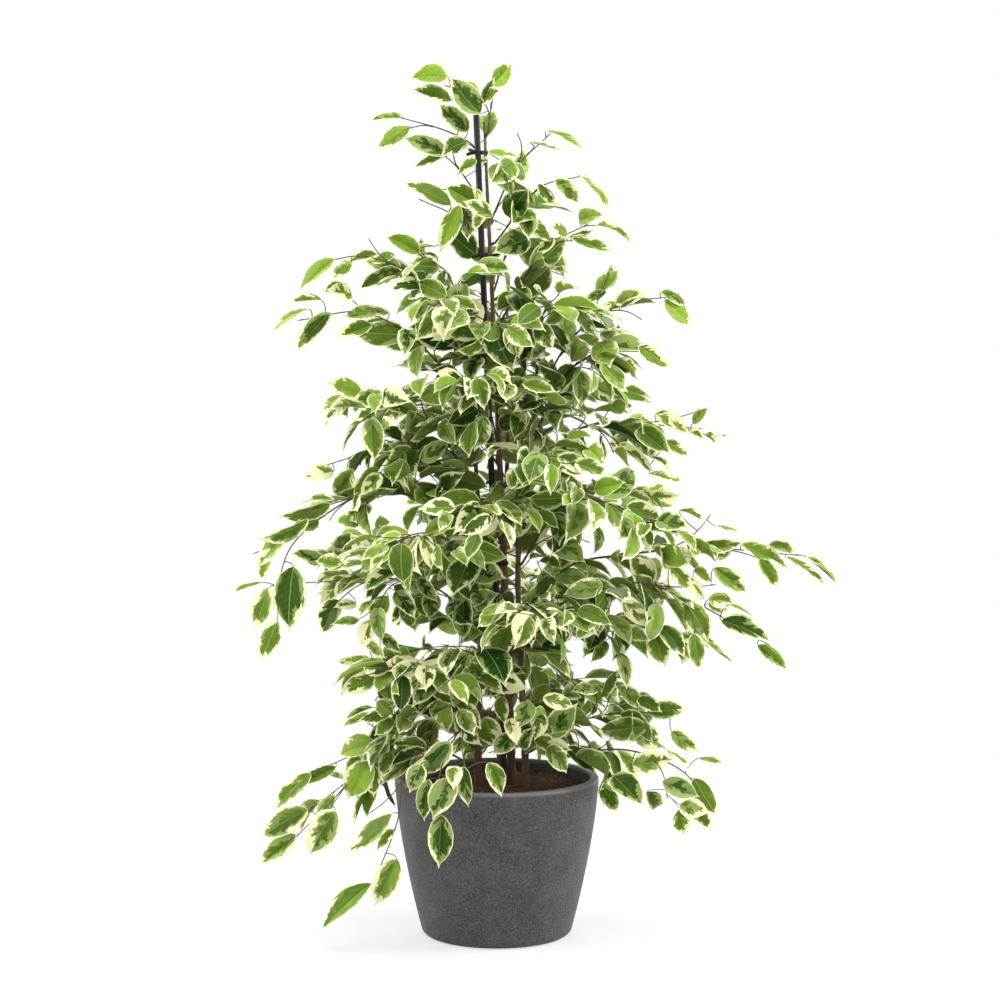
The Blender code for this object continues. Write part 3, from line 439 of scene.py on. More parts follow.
def soil_body():
    """The turned fill, its top rings lifted to the soil's height and its underside on the pot's floor."""
    wall = POT_WALL + SOIL_CLEARANCE
    top = np.linspace(0.0, float(outer_radius(SOIL_EDGE)) - wall, SOIL_RINGS)
    down = np.linspace(SOIL_EDGE, POT_FLOOR + SOIL_CLEARANCE, 7)[1:]
    outline = np.concatenate([np.stack([top, np.full(SOIL_RINGS, SOIL_EDGE)], 1),
                              np.stack([outer_radius(down) - wall, down], 1),
                              [(0.0, down[-1])]])[::-1]
    points, faces = turned(outline, SOIL_TURNS)
    on_top = points[:, 2] > SOIL_EDGE - 1e-6
    points[on_top, 2] = soil_height(points[on_top, 0], points[on_top, 1])
    return points, faces


soil = make_piece("potting_soil_top", *soil_body(), coir_finish("coir_soil", COIR_DARK, COIR_PALE, 900.0))
fit(soil, "coir_soil", "potting_soil")
for seed, (name, *lie, sides, flat, dark, pale, grain, sharp) in enumerate(STREWN, 21):
    shape = tubes(*strewn(seed, *lie), sides, flat)
    fit(make_piece(name, *shape, coir_finish(name, dark, pale, grain), sharp), "coir_soil")


# --- Stake -----------------------------------------------------------------------------------------------
# A thin steel cane in a black plastic skin, pushed down beside the stems. Small ribs run round the skin,
# and its top end is a blunt cap.

STAKE_RADIUS = 0.004
STAKE_FOOT = np.array([0.010, 0.0, SOIL_EDGE])
STAKE_TOP = np.array([-0.025, 0.0, 1.012])
STAKE_DEPTH = 0.120
STAKE_POINTS, STAKE_SIDES = 270, 14
CAP_ANGLES = (25, 50, 72, 85, 90)  # how far round the blunt top its last rings are
CAP_RADII = (0.94, 0.82, 0.58, 0.32, 0.12)
RIB_SPACING = 0.021
RIB_HEIGHT = 0.045  # as a share of the radius
PLASTIC_BLACK = (0.011, 0.011, 0.012)
PLASTIC_DUST = (0.020, 0.019, 0.018)


def plastic_finish():
    """Near-black with a faint dusty grain that also roughens the gloss."""
    material, tree = new_finish("black_plastic", Specular_IOR_Level=0.30)
    dust = speckle(tree, 260.0, 0.1, 0.2)["Grain"]
    black = blend(tree, ramp(tree, dust, 0.4, 0.75), PLASTIC_BLACK, PLASTIC_DUST)
    rough = ramp(tree, dust, 0.0, 1.0, 0.30, 0.62)
    return finished(material, dust, 0.3, 0.0003, Base_Color=black, Roughness=rough)


def stake_shape():
    """A straight tube with its radius raised a little at every rib, and rounded in to a blunt top."""
    heading = (STAKE_TOP - STAKE_FOOT) / np.linalg.norm(STAKE_TOP - STAKE_FOOT)
    foot = STAKE_FOOT - heading * STAKE_DEPTH
    length = np.linalg.norm(STAKE_TOP - foot)
    along = np.concatenate([np.linspace(0.0, length - STAKE_RADIUS, STAKE_POINTS),
                            length - STAKE_RADIUS * (1 - np.sin(np.radians(CAP_ANGLES)))])
    ribs = np.cos(2 * np.pi * along / RIB_SPACING) > 0.86
    radii = STAKE_RADIUS * (1 - RIB_HEIGHT + RIB_HEIGHT * ribs)
    radii[-len(CAP_RADII):] = STAKE_RADIUS * np.array(CAP_RADII)
    path = foot + along[:, None] * heading
    return tubes(path[None], radii[None], STAKE_SIDES, across=np.array([[1.0, 0.0, 0.0]]))


black_plastic = plastic_finish()
fit(make_piece("stake_cane", *stake_shape(), black_plastic), "black_plastic", "support_stake")


# --- Stems -----------------------------------------------------------------------------------------------
# Four woody stems of one old cutting. Their bark is light brown, smooth and finely cracked along the
# stem, redder near the soil, with a swollen ring wherever a leaf once stood.

STEMS = (  # radius at the soil, radius at the top, the points that the stem passes through
    (0.0055, 0.0016, ((0.019, 0.007, 0.180), (0.013, 0.007, 0.356), (0.005, 0.007, 0.556),
                      (-0.004, 0.007, 0.756), (-0.012, 0.006, 0.926), (-0.015, 0.004, 1.001))),
    (0.0046, 0.0016, ((0.037, -0.012, 0.180), (0.030, -0.010, 0.336), (0.026, -0.006, 0.456),
                      (0.034, 0.0, 0.556), (0.045, 0.004, 0.646), (0.054, 0.006, 0.766))),
    (0.0046, 0.0016, ((-0.024, -0.010, 0.180), (-0.021, -0.008, 0.336), (-0.019, -0.006, 0.456),
                      (-0.026, 0.0, 0.586), (-0.034, 0.002, 0.686), (-0.037, 0.0, 0.766))),
    (0.0046, 0.0016, ((0.004, 0.036, 0.180), (0.006, 0.038, 0.356), (0.012, 0.042, 0.556),
                      (0.016, 0.050, 0.686), (0.012, 0.056, 0.786))),
)
STEM_POINTS = 300
STEM_SIDES = 12
BURIED_LENGTH = 0.030
LEAF_SCARS = np.arange(0.20, 0.98, 0.023)  # heights of the rings
SCAR_SWELL, SCAR_WIDTH = 0.13, 0.0028
BARK_DARK = (0.070, 0.040, 0.024)
BARK_TAN = (0.23, 0.145, 0.080)
BARK_RED = (0.125, 0.052, 0.030)
LENTICEL = (0.36, 0.27, 0.19)


def smooth_route(points, count):
    """A Catmull-Rom curve through the points, read at evenly spaced lengths from its start to its end."""
    points = np.asarray(points, float)
    knots = np.concatenate([[2 * points[0] - points[1]], points, [2 * points[-1] - points[-2]]])
    a, b, c, d = (knots[i:len(knots) - 3 + i, None, :] for i in range(4))
    t = np.linspace(0, 1, 24, endpoint=False)[:, None]
    dense = 0.5 * (2 * b + (c - a) * t + (2 * a - 5 * b + 4 * c - d) * t ** 2
                   + (3 * b - 3 * c + d - a) * t ** 3)
    return even_route(np.concatenate([dense.reshape(-1, 3), points[-1:]]), count)


def lengths_along(route):
    """The length from a route's start to each of its points."""
    return np.concatenate([[0.0], np.cumsum(np.linalg.norm(np.diff(route, axis=0), axis=1))])


def at_lengths(route, wanted):
    """The places at wanted lengths along a route, read between its points in a straight line."""
    so_far = lengths_along(route)
    return np.stack([np.interp(wanted, so_far, route[:, axis]) for axis in range(3)], -1)


def even_route(route, count):
    """The route read at a count of places: from 0 to its full length in even steps."""
    return at_lengths(route, np.linspace(0.0, lengths_along(route)[-1], count))


def bark_finish(name, dark, pale, foot):
    """Bark streaked along Z, from dark to pale, turning to the foot's colour from 0.62 m down to 0.30 m."""
    material, tree = new_finish(name)
    place = add_node(tree, "ShaderNodeTexCoord")["Object"]
    stretched = add_node(tree, "ShaderNodeMapping", {"Vector": place, "Scale": (1.0, 1.0, 0.16)})[0]
    streaks = add_node(tree, "ShaderNodeTexNoise", {"Vector": stretched, "Scale": 620.0, "Detail": 6.0,
                                                    "Roughness": 0.7})[0]
    grain = speckle(tree, 300.0, 0.12, 0.3)
    skin = blend(tree, ramp(tree, streaks, 0.36, 0.62), dark, pale)
    low = ramp(tree, height_in(tree), 0.62, 0.30, 0.0, 1.2)
    skin = blend(tree, maths(tree, "MULTIPLY", low, grain["Grain"], clamp=True), skin, foot)
    skin = blend(tree, maths(tree, "MULTIPLY", grain["Spots"], 0.55), skin, LENTICEL)
    relief = maths(tree, "MULTIPLY_ADD", grain["Spots"], 0.6, streaks)
    rough = ramp(tree, streaks, 0.0, 1.0, 0.9, 0.6)
    return finished(material, relief, 0.7, 0.0005, Base_Color=skin, Roughness=rough)


def stem_line(stem):
    """The stem's route from a little under the soil, straight at first, and its even taper to the top."""
    foot_radius, top_radius, points = STEMS[stem]
    route = smooth_route(points, STEM_POINTS)
    buried = route[0] - BURIED_LENGTH * (route[1] - route[0]) / np.linalg.norm(route[1] - route[0])
    radii = np.linspace(foot_radius, top_radius, STEM_POINTS)
    return np.concatenate([[buried], route]), np.concatenate([[foot_radius], radii])


def stem_at(stem, height):
    """The stem's middle and radius at a height, and its upward direction there."""
    route, radii = stem_line(stem)
    middle, above = (np.array([np.interp(level, route[:, 2], route[:, axis]) for axis in range(3)])
                     for level in (height, height + 0.01))
    radius = float(np.interp(height, route[:, 2], radii))
    return middle, radius, (above - middle) / np.linalg.norm(above - middle)


def stem_wood(stem):
    """The stem's tube, with a low ring round it every few centimetres where a leaf once stood."""
    route, radii = stem_line(stem)
    chance = np.random.default_rng(40 + stem)
    for height in LEAF_SCARS + chance.uniform(-0.006, 0.006, len(LEAF_SCARS)):
        radii = radii * (1 + SCAR_SWELL * np.exp(-((route[:, 2] - height) / SCAR_WIDTH) ** 2))
    return tubes(route[None], radii[None], STEM_SIDES)


stem_bark = bark_finish("stem_bark", BARK_DARK, BARK_TAN, BARK_RED)
for number in range(len(STEMS)):
    stem = make_piece(f"stem_wood_{number + 1}", *stem_wood(number), stem_bark)
    fit(stem, "bark", f"stem_{number + 1}")


# --- Ties ------------------------------------------------------------------------------------------------
# Three black plastic straps that hold the main stem to the stake. Each goes once round both, is
# twisted shut, and leaves its two cut ends sticking out.

TIE_THICKNESS = 0.0011
TIE_WIDTH = 0.0045
TIE_CLEARANCE = 0.0004
TIE_SECTION = 10  # points round the strap's section
TAIL_RADIUS, TAIL_FLATNESS = 0.0023, 0.4
TAIL_START = 0.0035  # outwards from the middle of the stem or the stake
KNOT_RADIUS = 0.0011
TIES = (  # height, and each tail from its root to its tip
    (0.964, ((-0.010, -0.004, -0.003), (-0.008, -0.006, 0.003))),
    (0.840, ((0.020, -0.002, 0.003), (-0.009, -0.003, -0.003))),
    (0.461, ((0.006, -0.016, 0.004), (-0.012, -0.010, -0.004))),
)


def strap(height):
    """A rounded flat band carried round two half circles, one about the stem and one about the stake.

    At turn a the path is centre + reach (cos a, sin a). At turn b of the section a point is half the
    thickness cos(b)^0.6 outwards and half the width sin(b)^0.6 up. The middles of stem and stake come too.
    """
    share = (height - STAKE_FOOT[2]) / (STAKE_TOP[2] - STAKE_FOOT[2])
    stake_middle = STAKE_FOOT + share * (STAKE_TOP - STAKE_FOOT)
    stem_middle, stem_radius, _ = stem_at(0, height)
    heading = np.arctan2(*(stem_middle - stake_middle)[[1, 0]])
    half = np.linspace(0, np.pi, 14)
    turn = np.concatenate([heading - np.pi / 2 + half, heading + np.pi / 2 + half])
    centres = np.repeat([stem_middle[:2], stake_middle[:2]], len(half), axis=0)
    reach = np.repeat([stem_radius, STAKE_RADIUS], len(half)) + TIE_CLEARANCE + TIE_THICKNESS / 2
    out = np.stack([np.cos(turn), np.sin(turn)], 1)
    path = centres + reach[:, None] * out
    section = 2 * np.pi * np.arange(TIE_SECTION) / TIE_SECTION
    wide, thick = (np.sign(wave) * np.abs(wave) ** 0.6 * size / 2
                   for wave, size in ((np.sin(section), TIE_WIDTH), (np.cos(section), TIE_THICKNESS)))
    points = np.concatenate([path[:, None, :] + thick[:, None] * out[:, None, :],
                             np.broadcast_to(height + wide[:, None], (len(path), TIE_SECTION, 1))], 2)
    grid = np.arange(len(path) * TIE_SECTION).reshape(-1, TIE_SECTION)
    after = np.roll(grid, -1, axis=0)
    quads = np.stack([grid, after, np.roll(after, -1, axis=1), np.roll(grid, -1, axis=1)], 2)
    return points.reshape(-1, 3), quads.reshape(-1, 4).tolist(), stem_middle, stake_middle


def tie_shape(height, tails):
    """The strap, its tails, and a knot of two short twisted turns beside it."""
    points, faces, stem_middle, stake_middle = strap(height)
    shapes = [(points, faces)]
    level = np.array([1.0, 1.0, 0.0])
    t = np.linspace(0, 1, 9)[:, None]
    for tail in np.asarray(tails, float):
        facing = tail * level / np.linalg.norm(tail[:2])
        nearest = stem_middle if facing @ (stem_middle - stake_middle) > 0 else stake_middle
        root = nearest * level + (0, 0, height) + facing * TAIL_START
        bow = np.array([0.0, 0.0, 0.12 * np.linalg.norm(tail)])
        path = root + t * tail * 1.05 + t * (1 - t) * bow
        radii = TAIL_RADIUS * np.linspace(1.0, 0.8, len(t))
        across = np.cross(tail, (0.0, 0.0, 1.0))
        shapes.append(tubes(path[None], radii[None], 8, TAIL_FLATNESS, across[None]))
    coil = np.concatenate([0.0018 * np.cos(6 * t), 0.0012 * np.sin(6 * t) - 0.0065, 0.003 * (t - 0.5)], 1)
    knot = 0.5 * (stem_middle + stake_middle) * level + (0, 0, height) + coil
    return join_shapes(*shapes, tubes(knot[None], np.full((1, len(t)), KNOT_RADIUS), 6))


for number, (height, tails) in enumerate(TIES, 1):
    tie = make_piece(f"tie_strap_{number}", *tie_shape(height, tails), black_plastic)
    fit(tie, "black_plastic", f"stake_tie_{number}")


# --- Leafy branches --------------------------------------------------------------------------------------
# Each branch rises from a stem, arches over and hangs, and forks into thin dark twigs. Thin waxy leaves
# stand on short stalks, left and right in turn, folded along the midrib, each with a drawn-out tip. They
# are green with cream edges, and no two are marked alike.

BOUGHS = (  # stem, height on it, points passed through, side twigs as (share of the branch, end)
    # crown
    (0, 0.984, ((-0.008, -0.006, 1.010), (-0.004, 0.002, 1.032)),
     ((0.45, (-0.056, -0.012, 1.042)), (0.70, (-0.030, 0.030, 1.036)))),
    (0, 0.951, ((-0.030, 0.013, 0.974), (-0.064, 0.000, 0.991), (-0.112, -0.014, 1.004)),
     ((0.70, (-0.106, -0.012, 0.992)),)),
    (0, 0.896, ((-0.030, 0.013, 0.921), (-0.050, -0.010, 0.948), (-0.075, -0.030, 0.968)),
     ((0.60, (-0.045, -0.036, 0.991)),)),
    (0, 0.886, ((0.022, 0.004, 0.944), (0.060, 0.005, 0.982)),
     ((0.75, (0.045, -0.022, 0.971)),)),
    (0, 0.852, ((0.016, 0.000, 0.878), (0.052, -0.018, 0.921), (0.100, -0.024, 0.934)),
     ((0.45, (0.012, -0.050, 0.931)), (0.60, (0.070, 0.022, 0.911)))),
    (0, 0.824, ((-0.028, 0.015, 0.856), (-0.050, -0.012, 0.886), (-0.088, -0.036, 0.904)),
     ((0.50, (-0.034, -0.060, 0.868)),)),
    (0, 0.796, ((0.016, 0.050, 0.856), (0.030, 0.085, 0.878)),
     ((0.60, (-0.030, 0.070, 0.876)),)),
    (0, 0.751, ((0.030, -0.002, 0.806), (0.062, -0.008, 0.851), (0.105, -0.020, 0.874)),
     ((0.45, (0.072, -0.010, 0.818)), (0.60, (0.100, -0.045, 0.856)))),
    (0, 0.741, ((-0.028, 0.016, 0.768), (-0.105, -0.014, 0.818), (-0.160, -0.032, 0.838),
                (-0.205, -0.045, 0.832)),
     ((0.48, (-0.130, -0.060, 0.808)), (0.65, (-0.152, -0.015, 0.854)))),
    # upper left
    (2, 0.696, ((-0.046, -0.022, 0.776), (-0.060, -0.030, 0.818), (-0.090, -0.035, 0.838)),
     ((0.45, (-0.085, -0.055, 0.798)), (0.60, (-0.026, -0.052, 0.824)))),
    (2, 0.656, ((-0.070, -0.010, 0.706), (-0.110, -0.020, 0.746), (-0.165, -0.035, 0.771),
                (-0.232, -0.048, 0.762)),
     ((0.50, (-0.160, -0.058, 0.744)), (0.65, (-0.185, -0.018, 0.796)))),
    (2, 0.556, ((-0.070, -0.022, 0.624), (-0.115, -0.036, 0.656), (-0.175, -0.050, 0.672)),
     ((0.45, (-0.085, -0.092, 0.691)), (0.65, (-0.160, -0.080, 0.642)))),
    (2, 0.516, ((-0.070, 0.006, 0.586), (-0.120, 0.004, 0.608), (-0.205, 0.002, 0.584)),
     ((0.45, (-0.140, -0.050, 0.578)), (0.55, (-0.145, 0.060, 0.610)))),
    # upper right
    (1, 0.661, ((0.078, 0.012, 0.718), (0.112, 0.012, 0.756), (0.160, 0.002, 0.782),
                (0.205, -0.010, 0.788)),
     ((0.45, (0.130, 0.034, 0.796)), (0.62, (0.172, -0.034, 0.764)))),
    (1, 0.616, ((0.080, -0.020, 0.690), (0.120, -0.040, 0.720), (0.185, -0.050, 0.724)),
     ((0.45, (0.130, -0.080, 0.690)), (0.60, (0.150, -0.005, 0.740)))),
    (1, 0.546, ((0.085, 0.010, 0.616), (0.140, 0.012, 0.634), (0.245, 0.002, 0.628)),
     ((0.42, (0.140, -0.045, 0.604)), (0.60, (0.202, -0.034, 0.606)), (0.68, (0.245, 0.036, 0.646)))),
    # middle left
    (2, 0.466, ((-0.080, -0.020, 0.536), (-0.150, -0.040, 0.552), (-0.205, -0.055, 0.528),
                (-0.250, -0.060, 0.486), (-0.268, -0.060, 0.426)),
     ((0.52, (-0.232, -0.092, 0.532)), (0.66, (-0.290, -0.040, 0.480)))),
    (2, 0.371, ((-0.060, -0.020, 0.424), (-0.120, -0.036, 0.446), (-0.235, -0.050, 0.443)),
     ((0.45, (-0.140, -0.100, 0.421)), (0.60, (-0.200, -0.085, 0.411)))),
    # middle right
    (1, 0.461, ((0.070, -0.044, 0.526), (0.120, -0.076, 0.546), (0.210, -0.100, 0.511)),
     ((0.40, (0.090, -0.130, 0.551)), (0.60, (0.160, -0.142, 0.516)))),
    (1, 0.401, ((0.090, 0.002, 0.458), (0.170, 0.006, 0.473), (0.250, 0.002, 0.481),
                (0.365, 0.000, 0.472)),
     ((0.42, (0.200, -0.044, 0.481)), (0.55, (0.262, 0.034, 0.514)), (0.72, (0.328, -0.034, 0.468)))),
    (1, 0.351, ((0.080, -0.036, 0.416), (0.160, -0.056, 0.444), (0.230, -0.066, 0.426),
                (0.325, -0.070, 0.372)),
     ((0.38, (0.130, -0.115, 0.411)), (0.55, (0.262, -0.030, 0.438)), (0.62, (0.236, -0.112, 0.394)))),
    # front, from the crown down
    (0, 0.686, ((-0.004, -0.050, 0.748), (-0.036, -0.094, 0.772), (-0.076, -0.120, 0.780)),
     ((0.50, (0.010, -0.110, 0.754)),)),
    (1, 0.696, ((0.056, -0.045, 0.768), (0.072, -0.088, 0.790)),
     ((0.50, (0.030, -0.082, 0.754)), (0.55, (0.102, -0.055, 0.772)))),
    (0, 0.606, ((-0.010, -0.050, 0.662), (-0.020, -0.100, 0.690), (-0.042, -0.138, 0.690)),
     ((0.50, (0.024, -0.102, 0.686)),)),
    (1, 0.516, ((0.045, -0.052, 0.584), (0.056, -0.110, 0.608), (0.062, -0.155, 0.596)),
     ((0.50, (0.104, -0.094, 0.608)), (0.52, (0.014, -0.102, 0.608)))),
    (0, 0.466, ((-0.004, -0.060, 0.528), (-0.010, -0.125, 0.548), (0.004, -0.175, 0.532)),
     ((0.50, (0.042, -0.122, 0.536)), (0.55, (-0.052, -0.150, 0.536)))),
    (2, 0.426, ((-0.050, -0.072, 0.491), (-0.090, -0.128, 0.511), (-0.122, -0.168, 0.500)),
     ((0.50, (-0.050, -0.148, 0.494)), (0.60, (-0.142, -0.122, 0.492)))),
    (0, 0.336, ((0.028, -0.062, 0.394), (0.045, -0.122, 0.421), (0.056, -0.168, 0.414)),
     ((0.52, (0.092, -0.124, 0.418)), (0.55, (0.008, -0.138, 0.424)))),
    (2, 0.301, ((-0.022, -0.068, 0.356), (-0.030, -0.128, 0.376), (-0.036, -0.168, 0.364)),
     ((0.50, (0.012, -0.112, 0.356)), (0.55, (-0.078, -0.122, 0.374)))),
    # low left, hanging past the rim
    (2, 0.261, ((-0.062, -0.052, 0.328), (-0.115, -0.072, 0.342), (-0.165, -0.076, 0.332)),
     ((0.45, (-0.058, -0.122, 0.334)), (0.60, (-0.142, -0.104, 0.312)))),
    (2, 0.234, ((-0.070, -0.030, 0.286), (-0.130, -0.044, 0.262), (-0.188, -0.050, 0.190),
                (-0.242, -0.052, 0.134)),
     ((0.45, (-0.222, -0.072, 0.216)), (0.60, (-0.205, -0.086, 0.168)))),
    (2, 0.210, ((-0.070, -0.060, 0.238), (-0.110, -0.086, 0.218), (-0.120, -0.096, 0.158),
                (-0.146, -0.100, 0.090)),
     ((0.50, (-0.148, -0.092, 0.172)),)),
    (0, 0.266, ((-0.020, -0.070, 0.288), (-0.058, -0.126, 0.252), (-0.076, -0.156, 0.188)),
     ((0.45, (-0.034, -0.150, 0.224)), (0.50, (-0.096, -0.130, 0.230)))),
    # low right and low front
    (1, 0.244, ((0.046, -0.052, 0.258), (0.078, -0.090, 0.234)),
     ((0.40, (-0.004, -0.084, 0.242)), (0.55, (0.030, -0.098, 0.268)))),
    (1, 0.228, ((0.100, 0.000, 0.264), (0.160, 0.002, 0.276), (0.215, -0.010, 0.276)),
     ((0.40, (0.122, -0.034, 0.308)), (0.60, (0.190, -0.050, 0.252)))),
    (1, 0.204, ((0.095, -0.036, 0.230), (0.160, -0.052, 0.238), (0.225, -0.056, 0.214),
                (0.258, -0.056, 0.170)),
     ((0.36, (0.140, -0.094, 0.214)), (0.58, (0.205, -0.096, 0.192)))),
    (3, 0.316, ((0.070, 0.060, 0.368), (0.130, 0.060, 0.384), (0.235, 0.040, 0.366)),
     ((0.45, (0.150, 0.020, 0.352)), (0.50, (0.135, 0.115, 0.378)))),
    # back, from the crown down
    (3, 0.706, ((0.002, 0.092, 0.764), (-0.020, 0.140, 0.790)),
     ((0.50, (0.044, 0.120, 0.786)), (0.55, (-0.064, 0.100, 0.776)))),
    (3, 0.586, ((0.058, 0.100, 0.646), (0.100, 0.150, 0.672), (0.130, 0.188, 0.661)),
     ((0.50, (0.050, 0.160, 0.666)), (0.60, (0.150, 0.130, 0.670)))),
    (3, 0.566, ((-0.030, 0.100, 0.624), (-0.072, 0.155, 0.651), (-0.104, 0.200, 0.640)),
     ((0.50, (-0.020, 0.162, 0.646)), (0.60, (-0.130, 0.140, 0.646)))),
    (3, 0.476, ((0.070, 0.092, 0.526), (0.130, 0.140, 0.546), (0.185, 0.180, 0.526)),
     ((0.50, (0.100, 0.180, 0.536)), (0.60, (0.190, 0.120, 0.536)))),
    (3, 0.446, ((-0.016, 0.110, 0.506), (-0.040, 0.180, 0.531), (-0.052, 0.245, 0.511)),
     ((0.50, (0.020, 0.190, 0.526)), (0.60, (-0.095, 0.205, 0.516)))),
    (3, 0.406, ((-0.070, 0.080, 0.456), (-0.140, 0.128, 0.476), (-0.195, 0.160, 0.456)),
     ((0.50, (-0.120, 0.175, 0.466)), (0.60, (-0.205, 0.100, 0.461)))),
    (3, 0.356, ((0.030, 0.110, 0.406), (0.050, 0.180, 0.426), (0.062, 0.245, 0.406)),
     ((0.50, (0.005, 0.190, 0.418)), (0.60, (0.110, 0.200, 0.411)))),
    (3, 0.286, ((-0.052, 0.098, 0.331), (-0.104, 0.155, 0.334), (-0.145, 0.198, 0.302)),
     ((0.50, (-0.050, 0.175, 0.324)), (0.55, (-0.165, 0.120, 0.316)))),
    (3, 0.256, ((0.060, 0.100, 0.296), (0.112, 0.150, 0.292), (0.145, 0.190, 0.246)),
     ((0.50, (0.070, 0.180, 0.276)), (0.55, (0.170, 0.120, 0.274)))),
    (3, 0.231, ((-0.060, 0.072, 0.262), (-0.130, 0.072, 0.228), (-0.190, 0.060, 0.178),
                (-0.230, 0.052, 0.148)),
     ((0.50, (-0.160, 0.020, 0.176)), (0.50, (-0.135, 0.125, 0.216)))),
    (3, 0.211, ((0.000, 0.110, 0.252), (0.000, 0.160, 0.240), (0.002, 0.180, 0.186)),
     ((0.50, (0.050, 0.160, 0.211)), (0.55, (-0.045, 0.160, 0.211)))),
)
BARE_SHARE = 0.10  # of a branch's length, next to the stem
BARE_LENGTH = 0.022  # and at least this much of it
BARE_TWIG = 0.012  # the length without leaves at the foot of a side twig or a shoot
LEAF_SPACING = 0.0175
SHOOT_SPACING = 0.035
SHOOTS_FROM = POT_HEIGHT + 0.02  # the part of a branch below this height has no shoots
SHOOT_LENGTHS = (0.028, 0.052)
LEAF_LENGTHS = (0.050, 0.076)
LEAF_WIDTHS = (0.46, 0.62)  # as shares of the leaf's length
LEAF_THICKNESS = 0.00045
LEAF_RIPPLES = 9  # along a leaf's margin, in radians from base to tip
SHORTEST_LEAF = 0.036  # of those placed one by one
SLIMMEST_LEAF, WIDEST_LEAF = 0.38, 0.64  # their widths as shares of their lengths
LEAF_ROLL = np.radians(34.0)
STALK_LENGTHS = (0.008, 0.015)
STALK_RADII = (0.00065, 0.00045)
BRANCH_POINTS, TWIG_POINTS = 40, 12
BRANCH_COLLAR = 0.0035  # how far out of its stem a branch takes its own way
TWIG_FOOT, BRANCH_FOOT = (0.0008, 0.0020), (0.0011, 0.0022)  # the foot's radius, and more for each metre
TWIG_TIP_RADIUS = 0.0006
TWIG_STEP = 0.007  # between the points of a twig's tube
BUD_STEPS, BUD_RADII = ((0.003,), (0.006,), (0.009,)), (0.0008, 0.0005, 0.0001)
POSES = 10  # tries at a leaf's direction, of which the first that clears the pot and the soil is kept
BOX_MARGIN = 0.008  # how far a leaf may reach past the CAD model's box
POT_GAP, SOIL_GAP, GROUND_GAP = 0.002, 0.003, 0.004  # the room between a leaf and each of them
YOUNG_PART = 0.10  # the length behind a twig's tip on which its leaves are younger and smaller
LEAF_ROWS = np.array([0.0, 0.045, 0.15, 0.32, 0.52, 0.70, 0.82, 0.89, 1.0])  # share of the length
LEAF_OUTLINE = np.array([0.0, 0.36, 0.76, 1.0, 0.99, 0.74, 0.40, 0.14, 0.0])  # share of the half width
LEAF_COLUMNS = np.array([-1.0, -0.54, 0.0, 0.54, 1.0])
LEAF_DEEP = (0.011, 0.043, 0.003)
# the green of fresh leaves, also painted on outer and higher leaves as light
LEAF_FRESH_AND_LIT = (0.235, 0.370, 0.034)
# partly the leaves' own grey-green, partly a painted sheen
LEAF_GREY_GREEN_AND_SHEEN = (0.28, 0.36, 0.11)
LEAF_CREAM = (0.84, 0.82, 0.48)
LEAF_RIM = (0.62, 0.67, 0.28)
LEAF_VEIN = (0.30, 0.42, 0.14)
LEAF_MIDRIB = (0.34, 0.45, 0.15)
LEAF_UNDERSIDE = (0.24, 0.33, 0.07)
TWIG_DARK = (0.030, 0.020, 0.015)
TWIG_BROWN = (0.10, 0.062, 0.036)
UP = np.array([0.0, 0.0, 1.0])
FRONT = np.array([0.0, -1.0, 0.45])  # where the leaves at the plant's outline turn their upper faces
DARK, GREEN, YOUNG = (0.15, 0.12), (0.3, 0.4), (0.25, 0.85)  # cream share, and how fresh and lit the green is, of kinds of leaf
EDGED, CREAM = (0.55, 0.45), (1.3, 0.5)
